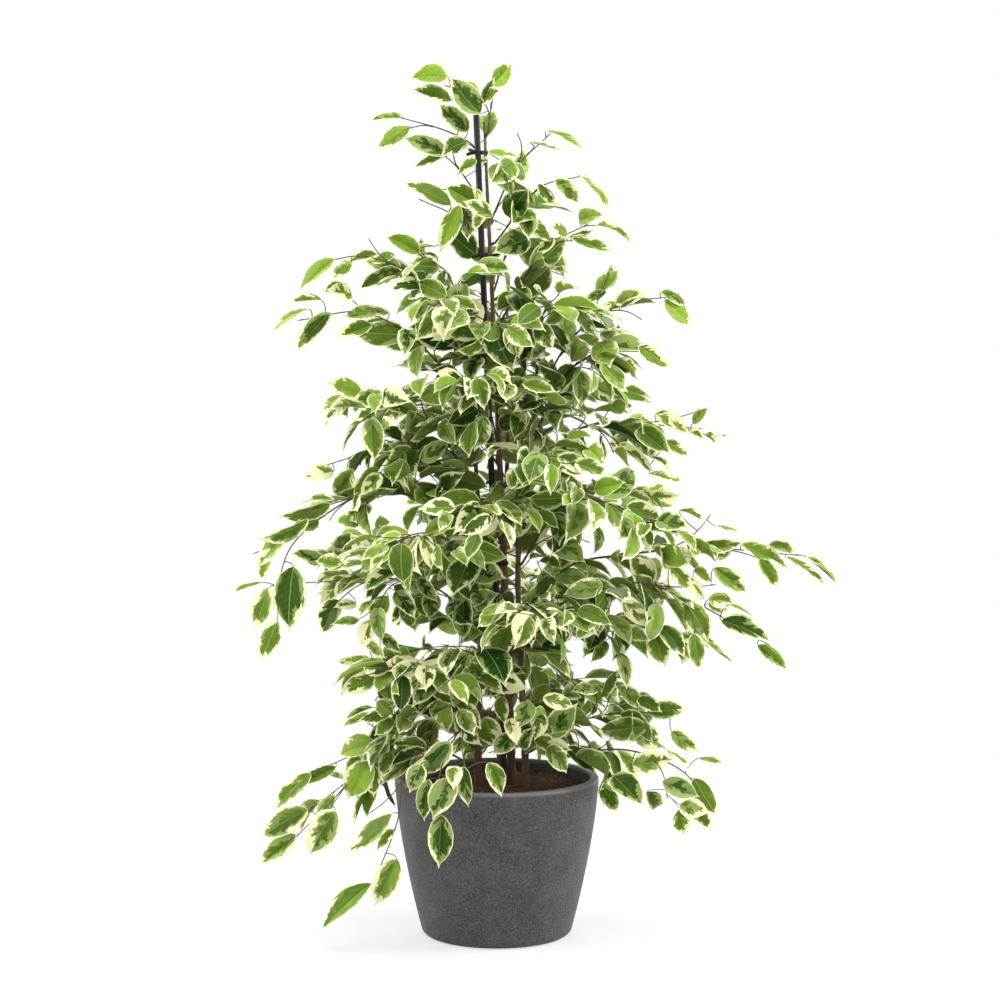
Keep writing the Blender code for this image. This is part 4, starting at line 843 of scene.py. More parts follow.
OUTLINE_LEAVES = {
    # branch: how far from the pot's middle its other leaves reach, and its last leaves as they show from the
    # front, in millimetres: x and z of the base, x and z of the tip, width; and the kind
    1: (0, ((-60, 1055, -105, 1050, 30, YOUNG), (-55, 1025, -105, 1035, 25, GREEN),
            (-20, 1010, -60, 1055, 35, DARK), (-20, 1035, -55, 1055, 20, EDGED),
            (-5, 1045, 20, 1070, 25, YOUNG), (-15, 1025, -5, 1055, 15, GREEN),
            (-15, 1025, 5, 1035, 20, GREEN))),
    2: (0.03, ((-35, 990, -75, 1020, 25, DARK), (-10, 985, -10, 1015, 30, GREEN),
               (-115, 1005, -155, 1000, 15, GREEN), (-105, 995, -145, 965, 20, YOUNG))),
    3: (0.03, ((-60, 960, -115, 980, 25, DARK), (-35, 975, -70, 960, 25, DARK),
               (-60, 960, -100, 940, 15, GREEN), (-10, 955, -40, 955, 15, CREAM),
               (-25, 955, -50, 935, 15, EDGED))),
    4: (0.03, ((60, 990, 110, 965, 15, GREEN), (40, 975, 80, 965, 10, GREEN),
               (-10, 965, 30, 955, 15, YOUNG), (-10, 945, 30, 920, 30, GREEN),
               (35, 935, 5, 945, 25, GREEN))),
    5: (0.04, ((50, 925, 75, 900, 10, GREEN), (70, 930, 100, 900, 25, GREEN),
               (100, 935, 140, 885, 15, EDGED), (50, 900, 95, 890, 10, GREEN),
               (15, 885, 35, 925, 35, DARK))),
    6: (0.03, ((-55, 900, -115, 930, 25, EDGED), (-25, 900, -65, 920, 30, GREEN),
               (-45, 900, -70, 840, 25, YOUNG), (-40, 900, -30, 855, 20, DARK),
               (-25, 840, -65, 870, 35, DARK), (-5, 885, -40, 905, 20, EDGED),
               (-25, 920, -20, 880, 15, CREAM), (-15, 895, -25, 865, 20, EDGED),
               (-75, 850, -115, 840, 10, EDGED))),
    8: (0.04, ((100, 880, 130, 895, 25, YOUNG), (120, 875, 165, 850, 15, EDGED),
               (90, 860, 140, 835, 20, GREEN), (85, 865, 65, 875, 20, GREEN),
               (65, 860, 35, 870, 25, GREEN), (40, 860, -5, 840, 35, DARK),
               (85, 860, 120, 870, 10, GREEN), (70, 860, 50, 835, 15, EDGED))),
    9: (0.11, ((-195, 835, -240, 795, 25, YOUNG), (-145, 840, -185, 830, 15, GREEN),
               (-125, 840, -155, 830, 15, YOUNG), (-175, 830, -200, 810, 20, GREEN),
               (-115, 820, -170, 795, 30, DARK), (-120, 815, -150, 795, 10, GREEN))),
    11: (0.115, ((-175, 790, -205, 795, 25, EDGED), (-185, 805, -210, 795, 15, GREEN),
                 (-210, 785, -255, 780, 15, EDGED), (-225, 775, -275, 740, 15, YOUNG),
                 (-200, 770, -240, 720, 25, DARK), (-145, 770, -185, 765, 20, GREEN),
                 (-150, 755, -195, 740, 25, GREEN), (-130, 770, -165, 780, 10, EDGED),
                 (-135, 760, -170, 750, 10, EDGED))),
    13: (0.16, ((-175, 580, -190, 540, 35, EDGED), (-200, 575, -240, 565, 25, CREAM))),
    14: (0.14, ((135, 795, 105, 780, 15, GREEN), (145, 780, 185, 795, 25, CREAM),
                (150, 775, 200, 780, 15, DARK), (140, 780, 110, 765, 15, CREAM),
                (200, 795, 235, 780, 15, GREEN), (205, 785, 240, 755, 25, YOUNG),
                (115, 755, 155, 750, 20, DARK), (125, 745, 175, 740, 10, CREAM))),
    15: (0.14, ((125, 745, 160, 735, 15, EDGED), (170, 730, 215, 705, 25, EDGED),
                (125, 735, 140, 705, 35, YOUNG), (140, 710, 170, 700, 25, GREEN))),
    16: (0.18, ((195, 645, 240, 625, 20, CREAM), (180, 635, 210, 615, 15, GREEN),
                (205, 615, 235, 595, 15, GREEN), (235, 625, 255, 615, 15, CREAM),
                (240, 635, 260, 655, 15, YOUNG), (255, 620, 270, 610, 15, GREEN),
                (265, 615, 285, 615, 10, YOUNG), (185, 595, 210, 575, 10, EDGED),
                (185, 575, 230, 565, 15, EDGED))),
    17: (0.19, ((-195, 545, -240, 540, 15, GREEN), (-200, 540, -265, 525, 15, GREEN),
                (-225, 525, -290, 495, 10, EDGED), (-215, 520, -250, 505, 25, GREEN),
                (-250, 505, -295, 465, 25, EDGED), (-275, 480, -285, 445, 15, YOUNG),
                (-285, 445, -325, 430, 10, GREEN), (-245, 465, -260, 385, 40, DARK),
                (-275, 440, -295, 385, 25, EDGED), (-235, 445, -250, 390, 20, CREAM),
                (-265, 400, -285, 345, 25, EDGED), (-165, 520, -195, 520, 20, YOUNG),
                (-150, 535, -190, 525, 20, EDGED))),
    18: (0.18, ((-130, 430, -150, 400, 25, YOUNG), (-110, 415, -105, 375, 25, GREEN),
                (-120, 410, -125, 380, 15, DARK), (-100, 420, -80, 395, 20, EDGED),
                (-80, 425, -80, 395, 25, DARK), (-40, 425, -40, 370, 30, DARK),
                (-150, 405, -165, 370, 20, CREAM), (-135, 455, -160, 435, 25, EDGED),
                (-140, 440, -160, 420, 15, DARK), (-125, 440, -105, 420, 20, DARK),
                (-185, 470, -220, 470, 25, GREEN), (-210, 465, -255, 475, 20, DARK),
                (-155, 475, -180, 505, 25, CREAM), (-155, 470, -200, 460, 15, CREAM),
                (-190, 425, -215, 385, 30, DARK), (-170, 420, -195, 415, 15, CREAM),
                (-165, 405, -195, 395, 15, GREEN))),
    20: (0.24, ((250, 485, 305, 485, 15, GREEN), (300, 485, 360, 455, 25, EDGED),
                (335, 485, 370, 475, 15, GREEN), (320, 470, 340, 430, 25, EDGED),
                (355, 470, 410, 430, 15, GREEN), (380, 470, 425, 435, 15, GREEN),
                (270, 505, 310, 495, 10, GREEN), (225, 525, 260, 510, 10, GREEN),
                (290, 480, 270, 465, 15, EDGED))),
    21: (0.22, ((265, 460, 305, 425, 25, GREEN), (270, 400, 340, 375, 30, DARK),
                (315, 370, 355, 340, 20, GREEN), (255, 425, 290, 420, 20, EDGED),
                (255, 420, 285, 410, 20, YOUNG), (280, 420, 315, 400, 10, GREEN),
                (225, 425, 260, 375, 30, GREEN), (235, 390, 240, 345, 20, GREEN),
                (250, 380, 285, 355, 10, GREEN), (210, 465, 240, 435, 20, EDGED),
                (240, 460, 265, 450, 15, EDGED), (230, 450, 250, 420, 15, CREAM),
                (195, 395, 230, 360, 25, DARK))),
    29: (0.09, ((-90, 335, -45, 295, 30, GREEN), (-70, 300, -60, 260, 25, YOUNG))),
    30: (0.14, ((-155, 375, -135, 355, 15, EDGED), (-135, 350, -200, 320, 15, YOUNG),
                (-145, 330, -190, 300, 25, GREEN), (-125, 360, -105, 355, 15, YOUNG),
                (-85, 345, -130, 340, 20, CREAM), (-140, 385, -115, 360, 15, DARK),
                (-130, 335, -140, 310, 25, YOUNG), (-115, 335, -110, 290, 25, DARK))),
    31: (0.145, ((-125, 295, -170, 280, 15, GREEN), (-150, 295, -185, 280, 10, DARK),
                 (-145, 300, -120, 295, 15, CREAM), (-125, 280, -150, 265, 20, GREEN),
                 (-150, 275, -190, 260, 15, GREEN), (-150, 250, -195, 230, 30, YOUNG),
                 (-135, 245, -165, 225, 25, GREEN), (-130, 235, -140, 205, 20, GREEN),
                 (-90, 235, -145, 195, 20, DARK), (-85, 240, -130, 240, 15, EDGED),
                 (-195, 220, -240, 195, 20, GREEN), (-225, 215, -270, 165, 25, GREEN),
                 (-230, 165, -290, 130, 30, GREEN), (-245, 135, -285, 90, 30, EDGED),
                 (-195, 170, -230, 115, 35, GREEN), (-155, 225, -180, 175, 35, YOUNG),
                 (-150, 220, -155, 180, 25, CREAM))),
    32: (0.11, ((-125, 170, -185, 110, 25, GREEN), (-120, 115, -145, 55, 35, EDGED),
                (-150, 85, -205, 15, 30, GREEN), (-125, 150, -145, 125, 15, GREEN))),
    33: (0, ((-65, 180, -70, 115, 35, DARK), (-55, 220, -75, 175, 35, DARK),
             (-80, 220, -90, 170, 25, DARK), (-40, 235, -35, 185, 20, DARK),
             (-10, 240, 10, 200, 25, GREEN), (-50, 235, -50, 210, 20, EDGED),
             (-55, 260, -85, 215, 30, DARK), (-90, 235, -105, 205, 25, DARK),
             (-45, 295, -25, 265, 25, GREEN), (5, 305, 5, 270, 20, EDGED),
             (10, 320, -20, 305, 20, DARK), (-15, 280, -5, 240, 30, EDGED))),
    34: (0.05, ((45, 255, 90, 235, 25, EDGED), (60, 245, 90, 220, 25, GREEN),
                (65, 260, 100, 300, 35, DARK), (55, 290, 50, 255, 20, EDGED),
                (20, 260, -5, 240, 25, DARK), (15, 285, 25, 255, 20, CREAM),
                (30, 245, 45, 275, 20, DARK), (40, 305, 25, 275, 25, DARK),
                (55, 310, 95, 300, 20, EDGED))),
    35: (0.17, ((155, 305, 185, 270, 20, EDGED), (175, 295, 200, 275, 20, GREEN),
                (190, 275, 235, 285, 25, EDGED), (185, 265, 120, 255, 30, GREEN),
                (165, 260, 210, 235, 30, GREEN), (215, 255, 250, 225, 20, EDGED),
                (205, 240, 240, 200, 15, CREAM))),
    36: (0.155, ((165, 220, 215, 225, 30, EDGED), (140, 215, 175, 180, 35, DARK),
                 (150, 210, 180, 185, 15, YOUNG), (180, 195, 195, 170, 25, DARK),
                 (200, 205, 245, 185, 30, DARK), (220, 180, 255, 170, 25, EDGED),
                 (240, 205, 265, 155, 25, GREEN), (220, 175, 230, 140, 25, GREEN),
                 (240, 165, 260, 145, 25, GREEN), (245, 230, 275, 225, 10, GREEN),
                 (125, 205, 145, 170, 25, DARK))),
}


def unit(vectors):
    """Each vector divided by its own length."""
    return vectors / np.maximum(np.linalg.norm(vectors, axis=-1, keepdims=True), 1e-9)


def curve(start, bend, end, t):
    """The quadratic curve that leaves its start towards the bend and reaches its end, at shares t of it."""
    return (1 - t) ** 2 * start + 2 * t * (1 - t) * bend + t ** 2 * end


def joint(line, share):
    """The place at a share of a line's length, and the line's direction there."""
    along = share * lengths_along(line)[-1]
    start = at_lengths(line, along)
    return start, unit(at_lengths(line, along + 0.004) - start)


def side_shoots(line, chance):
    """The ends of short shoots along the part of a branch above the pot, as (share of its length, end).

    They stand to the left and right in turn, and any way round near the stem, where they are the longest.
    """
    clear = (line[:, 2] > SHOOTS_FROM).mean()
    count = int(lengths_along(line)[-1] * clear / SHOOT_SPACING)
    ends = []
    for i in range(count):
        share = 0.05 + (0.95 * clear - 0.05) * (i + chance.uniform(0.2, 0.8)) / count
        start, heading = joint(line, share)
        side = unit(np.cross(heading, UP))
        turn = chance.uniform(-0.6, 0.5) if i % 2 else np.pi - chance.uniform(-0.6, 0.5)
        if share < 0.35:
            turn = chance.uniform(0, 2 * np.pi)
        away = np.cos(turn) * side + np.sin(turn) * np.cross(side, heading)
        reach = chance.uniform(*SHOOT_LENGTHS) * (1.45 - 0.6 * share)
        ends.append((share, start + reach * unit(0.7 * heading + 0.9 * away)))
    return ends


def branch_lines(bough, within, chance):
    """The branch's own line, its side twigs' lines, and those of the shoots that start within a distance.

    A twig or a shoot leaves along the branch and bends to its end.
    """
    stem, height, points, side_twigs = bough
    middle, radius, rising = stem_at(stem, height)
    outwards = np.asarray(points[0]) - middle
    outwards = unit(outwards - (outwards @ rising) * rising)
    collar = middle + outwards * (radius + BRANCH_COLLAR) + (0.0, 0.0, 0.001)
    line = smooth_route([middle + outwards * radius * 0.4, collar, *points], BRANCH_POINTS)
    lines = [line]
    t = np.linspace(0, 1, TWIG_POINTS)[:, None]
    shoots = [(share, end) for share, end in side_shoots(line, chance)
              if np.hypot(*joint(line, share)[0][:2]) < within]
    for share, end in (*side_twigs, *shoots):
        start, heading = joint(line, share)
        bend = start + 0.45 * np.linalg.norm(np.subtract(end, start)) * heading
        lines.append(curve(start, bend, np.asarray(end), t))
    return lines


def leaf_places(lines, bare_lengths, chance):
    """Where each leaf joins its twig: place, twig's direction, side (1, -1, or 0 at the tip), and its age.

    The age rises from 0 at the twig's tip to 1 a little way behind it.
    """
    found = []
    for line, bare in zip(lines, bare_lengths):
        length = lengths_along(line)[-1]
        count = max(1, int(round((length - bare) / LEAF_SPACING)))
        along = bare + (length - bare) * (np.arange(1, count + 1) / count)
        along[:-1] += chance.uniform(-0.25, 0.25, count - 1) * LEAF_SPACING
        place = at_lengths(line, along)
        hand = np.where(np.arange(count) % 2 == 0, 1.0, -1.0) * chance.choice((-1.0, 1.0))
        hand[-1] = 0.0
        found.append((place, unit(place - at_lengths(line, along - 0.006)), hand,
                      np.clip((length - along) / YOUNG_PART, 0.0, 1.0)))
    return [np.concatenate(values) for values in zip(*found)]


def rolled(face, across, angle):
    """The face and the direction across it, turned about the leaf's length."""
    cos, sin = np.cos(angle)[..., None], np.sin(angle)[..., None]
    return cos * face + sin * across, cos * across - sin * face


def leaf_frames(place, twig, hand, chance):
    """Each leaf's direction, its upper face, and the direction across it, in every pose.

    The direction is a weighted sum of the twig's, the sideways, the outward, the downward and a random one.
    The upper face is the part of up and outwards that is square to it, rolled about it by a random angle.
    """
    shape = (POSES, len(place))
    loose = (1 + 0.25 * np.arange(POSES))[:, None]
    outwards = unit(place * (1.0, 1.0, 0.0))
    side = np.cross(twig, UP)
    side = unit(np.where(np.linalg.norm(side, axis=1, keepdims=True) < 0.1, np.cross(outwards, UP), side))
    inner = np.clip((0.20 - np.hypot(place[:, 0], place[:, 1])) / 0.14, 0.0, 1.0)
    crown = np.clip((place[:, 2] - 0.90) / 0.10, 0.0, 1.0)
    droop = (chance.uniform(-0.15, 0.65, shape) + 0.30 * inner) * (1 - 0.7 * crown)
    sweep = hand * chance.uniform(0.45, 1.0, shape) + 0.22 * loose * chance.normal(0, 1, shape)
    ahead = chance.uniform(0.4, 1.0, shape) + np.where(hand == 0, 0.6, 0.0)
    heading = unit(ahead[..., None] * twig + sweep[..., None] * side + 0.20 * outwards - droop[..., None] * UP
                   + (0.18 + 0.30 * inner)[:, None] * chance.normal(0, 1, (*shape, 3)))
    lookout = UP + (0.5 + 0.8 * inner)[:, None] * outwards
    face = unit(lookout - (heading * lookout).sum(-1, keepdims=True) * heading)
    roll = LEAF_ROLL * loose * chance.normal(0, 1, shape)
    return heading, *rolled(face, np.cross(heading, face), roll)


def leaf_blades(base, heading, face, across, length, width, curl, chance):
    """Closed blades (leaf, vertex, xyz) on a grid of rows along the midrib and columns across.

    The midrib is an arc of length L that turns by the curl c towards the underside: at share t it has gone
    L sin(c t) / c ahead and L (1 - cos(c t)) / c down, and the blade's own face has turned by c t. From there
    a point at share u of the half width w(t) goes u w cos(fold) sideways and, along that face,
    |u| w sin(fold) + dome sin(pi |u|) w + wave sin(ripples t + 1.5 u + phase) u^2. The blade twists evenly
    about the midrib. The underside is the same surface lowered by the thickness, and joins the top one along
    the margin, at the base and at the tip.
    """
    shape = length.shape
    bend = chance.normal(0.0, 0.08, shape)
    fold = chance.uniform(0.05, 0.62, shape)
    dome = chance.uniform(0.0, 0.13, shape)
    wave = chance.uniform(0.02, 0.15, shape)
    phase = chance.uniform(0, 2 * np.pi, shape)
    twist = chance.normal(0.0, 0.30, shape)
    half = 0.5 * length * width

    def spread(values):
        """One value for each leaf, shaped to go with every row and column of its grid."""
        return values[..., None, None]

    def lay(t, u, w, sunk=0.0):
        """The points at share t of the length and u of the half width w, lowered by a thickness."""
        turned_by = spread(curl) * t
        ahead = spread(length / curl) * np.sin(turned_by)
        down = spread(length / curl) * (1 - np.cos(turned_by))
        out = spread(half) * w * u * np.cos(spread(fold))
        folded = w * (np.sin(spread(fold)) * np.abs(u) + spread(dome) * np.sin(np.pi * np.abs(u)))
        ripple = spread(wave) * np.sin(LEAF_RIPPLES * t + spread(phase) + 1.5 * u) * u ** 2 * (w > 0.3)
        rise = spread(half) * (folded + ripple)
        cos, sin = np.cos(spread(twist) * t), np.sin(spread(twist) * t)
        out, rise = out * cos - rise * sin, out * sin + rise * cos - sunk
        out = out + spread(length * bend) * t ** 2
        ahead, rise = ahead + rise * np.sin(turned_by), rise * np.cos(turned_by) - down
        return (base[..., None, None, :] + ahead[..., None] * heading[..., None, None, :]
                + out[..., None] * across[..., None, None, :] + rise[..., None] * face[..., None, None, :])

    t, w = LEAF_ROWS[1:-1, None], LEAF_OUTLINE[1:-1, None]
    u = LEAF_COLUMNS[None, :]
    tip = lay(*np.array([1.0, 0.0, 0.0])[:, None, None])
    points = [grid.reshape(*shape, grid.shape[-3] * grid.shape[-2], 3)
              for grid in (lay(t, u, w), lay(t, u[:, 1:-1], w, LEAF_THICKNESS), tip)]
    return np.concatenate([np.broadcast_to(base, (*shape, 3))[..., None, :], *points], -2)


def curls(chance, middle, spread, shape):
    """How far each leaf bends over from base to tip, in radians and never quite 0."""
    curl = chance.normal(middle, spread, shape)
    return np.where(np.abs(curl) < 0.05, 0.05, curl)


def blade_faces():
    """The faces of one blade, its top ones first, and how many are on top.

    Its vertices are the base, the rows of the top, those of the underside without its margins, and the tip.
    """
    rows, wide = len(LEAF_ROWS) - 2, len(LEAF_COLUMNS)
    top = 1 + np.arange(rows * wide).reshape(rows, wide)
    under = top.copy()
    under[:, 1:-1] = 1 + rows * wide + np.arange(rows * (wide - 2)).reshape(rows, wide - 2)
    faces = []
    for grid, turn in ((top, 1), (under, -1)):
        quads = np.stack([grid[:-1, :-1], grid[:-1, 1:], grid[1:, 1:], grid[1:, :-1]], 2).reshape(-1, 4)
        start = np.stack([np.zeros(wide - 1, int), grid[0, 1:], grid[0, :-1]], 1)
        end = np.stack([grid[-1, :-1], grid[-1, 1:], np.full(wide - 1, len(CHART) - 1)], 1)
        faces += [face[::turn] for face in quads.tolist() + start.tolist() + end.tolist()]
    return faces, len(faces) // 2


def blade_chart():
    """For each vertex of a blade, three shares that say where on the leaf it is.

    They are the signed share of the half width times the outline, u w, the share of the length, and the
    distance to the margin, (1 - |u|) w.
    """
    w, t, u = LEAF_OUTLINE[1:-1, None], LEAF_ROWS[1:-1, None], LEAF_COLUMNS[None, :]
    grid = np.stack(np.broadcast_arrays(u * w, t, (1 - np.abs(u)) * w), 2)
    return np.concatenate([[(0.0, 0.0, 0.0)], grid.reshape(-1, 3), grid[:, 1:-1].reshape(-1, 3),
                           [(0.0, 1.0, 0.0)]])


CHART = blade_chart()
BLADE_FACES, TOP_FACES = blade_faces()


def clear_of_pot(blades):
    """True for a blade whose every vertex is above the ground and the soil, and outside the pot's wall."""
    out = np.hypot(blades[..., 0], blades[..., 1])
    z = blades[..., 2]
    outside, inside = outer_radius(z), outer_radius(z) - POT_WALL
    wall = (z < POT_HEIGHT + POT_GAP) & (out < outside + POT_GAP) & (out > inside - POT_GAP)
    sunk = (z < SOIL_EDGE + SOIL_HEAP + SOIL_GAP) & (out < inside)
    return ~(wall | sunk | (z < GROUND_GAP)).any(-1)


def inside_box(blades):
    """True for a blade that reaches hardly past the CAD model's box."""
    low, high = np.array(CAD_BOX)
    return ((blades > low - BOX_MARGIN) & (blades < high + BOX_MARGIN)).all((-1, -2))


def leaf_finish():
    """Green with a cream rim that widens to ragged patches, grey-green patches of own colour and painted
    sheen, and pale veins.

    The chart gives the place on the blade and the traits give each leaf's lot, cream share and how fresh and
    lit its green is. The patches step along the side veins: every vein's cell on each half of the blade has a
    share of its own.
    """
    material, tree = new_finish("variegated_leaf", Specular_IOR_Level=0.12, Subsurface_Weight=0.12,
                                Subsurface_Scale=0.0015, Subsurface_Radius=(0.6, 1.0, 0.25))

    def chance_at(first, second):
        """A random value that is always the same for the same two numbers."""
        at = add_node(tree, "ShaderNodeCombineXYZ", {0: first, 1: second})[0]
        return add_node(tree, "ShaderNodeTexWhiteNoise", {"Vector": at}, noise_dimensions="2D")["Value"]

    def attribute(name):
        """What the mesh holds under a name, as a node's outputs."""
        return add_node(tree, "ShaderNodeAttribute", attribute_name=name)

    across, along, inwards = add_node(tree, "ShaderNodeSeparateXYZ", {0: attribute("chart")["Vector"]})
    number, cream, fresh_and_lit = add_node(tree, "ShaderNodeSeparateXYZ", {0: attribute("traits")["Vector"]})
    underside = attribute("underside")["Fac"]
    lot = maths(tree, "FLOOR", number)
    half = maths(tree, "ABSOLUTE", across)
    vein = maths(tree, "MULTIPLY_ADD", half, -0.26, along)
    side = maths(tree, "MULTIPLY_ADD", maths(tree, "SIGN", across), 3.7, lot)
    on_leaf = add_node(tree, "ShaderNodeCombineXYZ", {0: across, 1: along, 2: lot})[0]
    wobble = add_node(tree, "ShaderNodeTexNoise", {"Vector": on_leaf, "Scale": 7.0, "Detail": 3.0})[0]
    wander = maths(tree, "MULTIPLY", wobble, 1.2)

    def stepped(cells, shift):
        """One random value for each cell along the veins, on each side of the midrib."""
        cell = maths(tree, "FLOOR", maths(tree, "MULTIPLY_ADD", vein, cells, wander))
        return chance_at(cell, maths(tree, "ADD", side, shift))

    coarse, fine, patches = stepped(5.0, 0.0), stepped(17.0, 1.3), stepped(7.0, 2.6)
    one_sided = maths(tree, "MULTIPLY_ADD", chance_at(side, 5.2), 0.8, 0.2)
    reach = maths(tree, "MULTIPLY", cream, one_sided)
    for factor in (maths(tree, "MULTIPLY_ADD", along, 1.1, 0.45),
                   maths(tree, "MULTIPLY_ADD", maths(tree, "POWER", coarse, 1.4), 2.0, 0.15),
                   maths(tree, "MULTIPLY_ADD", fine, 0.8, 0.6)):
        reach = maths(tree, "MULTIPLY", reach, factor)
    edge = maths(tree, "ADD", reach, maths(tree, "MULTIPLY_ADD", wobble, 0.06, -0.035))
    patch = ramp(tree, inwards, edge, maths(tree, "ADD", edge, 0.03), 1.0, 0.0)
    rim = ramp(tree, inwards, 0.045, 0.085, 0.85, 0.0)
    # Grey-green patches: partly the leaf's own colour, partly a painted sheen of gloss.
    grey_and_sheen_share = maths(tree, "MULTIPLY", patches, maths(tree, "MULTIPLY_ADD", fine, 0.5, 0.7))
    grey_and_sheen_share = maths(tree, "MULTIPLY", grey_and_sheen_share, chance_at(lot, 9.4))
    patch_edge = maths(tree, "MULTIPLY_ADD", grey_and_sheen_share, 1.15, maths(tree, "ADD", edge, -0.03))
    pale = ramp(tree, inwards, patch_edge, maths(tree, "ADD", patch_edge, 0.05), 0.80, 0.0)

    tone_and_half_shade = maths(tree, "MULTIPLY_ADD", wobble, 1.0, 0.20)
    # Painted shade and light: each half of the blade is made lighter or darker by its own random share, as
    # light falls on the two sides of the fold.
    tone_and_half_shade = maths(tree, "MULTIPLY_ADD", chance_at(side, 8.1), 0.50, tone_and_half_shade)
    tone_and_half_shade = maths(tree, "MULTIPLY_ADD", fine, 0.14, tone_and_half_shade)
    body = blend(tree, fresh_and_lit, LEAF_DEEP, LEAF_FRESH_AND_LIT)
    skin = add_node(tree, "ShaderNodeVectorMath", {0: body, "Scale": tone_and_half_shade}, operation="SCALE")[0]
    vein_lines = maths(tree, "SINE", maths(tree, "MULTIPLY", vein, 58.0))
    for mask, over in ((pale, LEAF_GREY_GREEN_AND_SHEEN), (ramp(tree, vein_lines, 0.80, 1.0, 0.0, 0.10), LEAF_VEIN),
                       (maths(tree, "MULTIPLY", underside, 0.38), LEAF_UNDERSIDE),
                       (ramp(tree, half, 0.045, 0.010, 0.0, 0.65), LEAF_MIDRIB), (rim, LEAF_RIM),
                       (patch, LEAF_CREAM)):
        skin = blend(tree, mask, skin, over)

    rough = maths(tree, "MULTIPLY_ADD", underside, 0.22, ramp(tree, wobble, 0.3, 0.7, 0.34, 0.48))
    relief = maths(tree, "MULTIPLY_ADD", vein_lines, 0.25, ramp(tree, half, 0.045, 0.010, 0.0, -1.4))
    return finished(material, relief, 0.35, 0.0006, Base_Color=skin, Roughness=rough)


def mark_blades(mesh, traits):
    """Writes each vertex's chart and its leaf's traits, which faces are undersides, and a map for baking.

    The bake's map gives every leaf a square of its own, its top in the left half and its underside in the
    right: u = (column + (across + 1) / 4 + side / 2) / columns and v = (row + along) / columns, less margins.
    """
    leaves, size = len(traits), len(CHART)
    under = np.tile(np.arange(len(BLADE_FACES)) >= TOP_FACES, leaves)
    for name, kind, domain, field, values in (
            ("chart", "FLOAT_VECTOR", "POINT", "vector", np.tile(CHART, (leaves, 1))),
            ("traits", "FLOAT_VECTOR", "POINT", "vector", np.repeat(traits, size, axis=0)),
            ("underside", "FLOAT", "FACE", "value", under)):
        mesh.attributes.new(name, kind, domain).data.foreach_set(field, values.astype(np.float32).ravel())
    corner = np.empty(len(mesh.loops), np.int32)
    mesh.loops.foreach_get("vertex_index", corner)
    below = np.repeat(under, np.tile([len(face) for face in BLADE_FACES], leaves))
    columns = int(np.ceil(np.sqrt(leaves)))
    leaf = corner // size
    spot = CHART[corner % size]
    u = (leaf % columns + 0.02 + 0.46 * (spot[:, 0] + 1) / 2 + 0.5 * below) / columns
    v = (leaf // columns + 0.03 + 0.94 * spot[:, 1]) / columns
    mesh.uv_layers.new(name="OFBake").data.foreach_set("uv", np.stack([u, v], 1).astype(np.float32).ravel())


def stalks(place, base, heading, lean):
    """Thin tubes from the twigs to the blades: curves that leave along the lean and end along the heading."""
    length = np.linalg.norm(base - place, axis=1)[:, None]
    turn = 0.5 * (place + 0.6 * length * lean) + 0.5 * (base - 0.45 * length * heading)
    end = base + 0.001 * heading
    paths = curve(place[:, None], turn[:, None], end[:, None], np.linspace(0, 1, 5)[None, :, None])
    radii = np.broadcast_to(np.linspace(*STALK_RADII, 5), paths.shape[:2])
    return tubes(paths, radii, 4, across=unit(np.cross(heading, lean) + 1e-4))


def twig_shape(lines, thick):
    """A tapering round tube along each line, swollen where it leaves, with a drawn-out bud at its tip."""
    shapes = []
    for line, is_thick in zip(lines, thick):
        length = lengths_along(line)[-1]
        route = even_route(line, max(6, int(length / TWIG_STEP)))
        least, more = BRANCH_FOOT if is_thick else TWIG_FOOT
        foot = least + more * length
        share = np.linspace(0, 1, len(route))
        radii = (foot + (TWIG_TIP_RADIUS - foot) * share ** 0.7
                 + foot * 0.7 * np.exp(-share * length / 0.004))
        bud = route[-1] + unit(route[-1] - route[-2]) * BUD_STEPS
        route = np.concatenate([route, bud])
        radii = np.concatenate([radii, BUD_RADII])
        shapes.append(tubes(route[None], radii[None], 7 if is_thick else 5))
    return shapes


def grown_leaves(lines, bare_lengths, within, chance):
    """Leaves along the lines: where each joins, its stalk's lean, its base, heading, blade and traits.

    Those that join further than a distance from the pot's middle, or that no try brings clear, are left out.
    """
    found = leaf_places(lines, bare_lengths, chance)
    near = np.hypot(*found[0][:, :2].T) < within
    place, twig, hand, age = (values[near] for values in found)
    heading, face, across = leaf_frames(place, twig, hand, chance)
    level = unit(np.cross(twig, UP) + 1e-4)
    lean = unit(0.5 * twig + 0.9 * hand[:, None] * level + (0, 0, 0.25))
    stalk = chance.uniform(*STALK_LENGTHS, len(place)) * np.where(hand == 0, 0.5, 1.0)
    base = place + stalk[:, None] * unit(lean + 0.6 * heading)
    length = chance.uniform(*LEAF_LENGTHS, len(place)) * (0.70 + 0.30 * age)
    length = np.broadcast_to(length, heading.shape[:2])
    widths = chance.uniform(*LEAF_WIDTHS, length.shape)
    curl = curls(chance, 0.55, 0.45, length.shape)
    blades = leaf_blades(base, heading, face, across, length, widths, curl, chance)
    good = clear_of_pot(blades) & inside_box(blades)
    kept = np.flatnonzero(good.any(0))
    pose = good.argmax(0)[kept]

    place, age = place[kept], age[kept]
    outer = np.clip((np.hypot(place[:, 0], place[:, 1]) - 0.06) / 0.18, 0, 1)
    # Painted light: leaves further out and higher up get a lighter, fresher green, as if better lit, and
    # inner ones a deeper green, as if in shade.
    painted_light = 0.26 * outer + 0.16 * place[:, 2] / 1.06
    fresh_and_lit = np.clip(painted_light + 0.25 * (1 - age) + chance.normal(0.0, 0.22, len(kept)), 0.0, 1.0)
    cream = (0.32 + 0.48 * outer) * chance.uniform(0, 1, len(kept)) ** 1.3
    cream = np.where(chance.uniform(0, 1, len(kept)) < 0.05 + 0.06 * outer, 1.3, cream)
    traits = np.stack([chance.integers(0, 500, len(kept)) + 0.5, cream, fresh_and_lit], 1)
    return place, lean[kept], base[pose, kept], heading[pose, kept], blades[pose, kept], traits


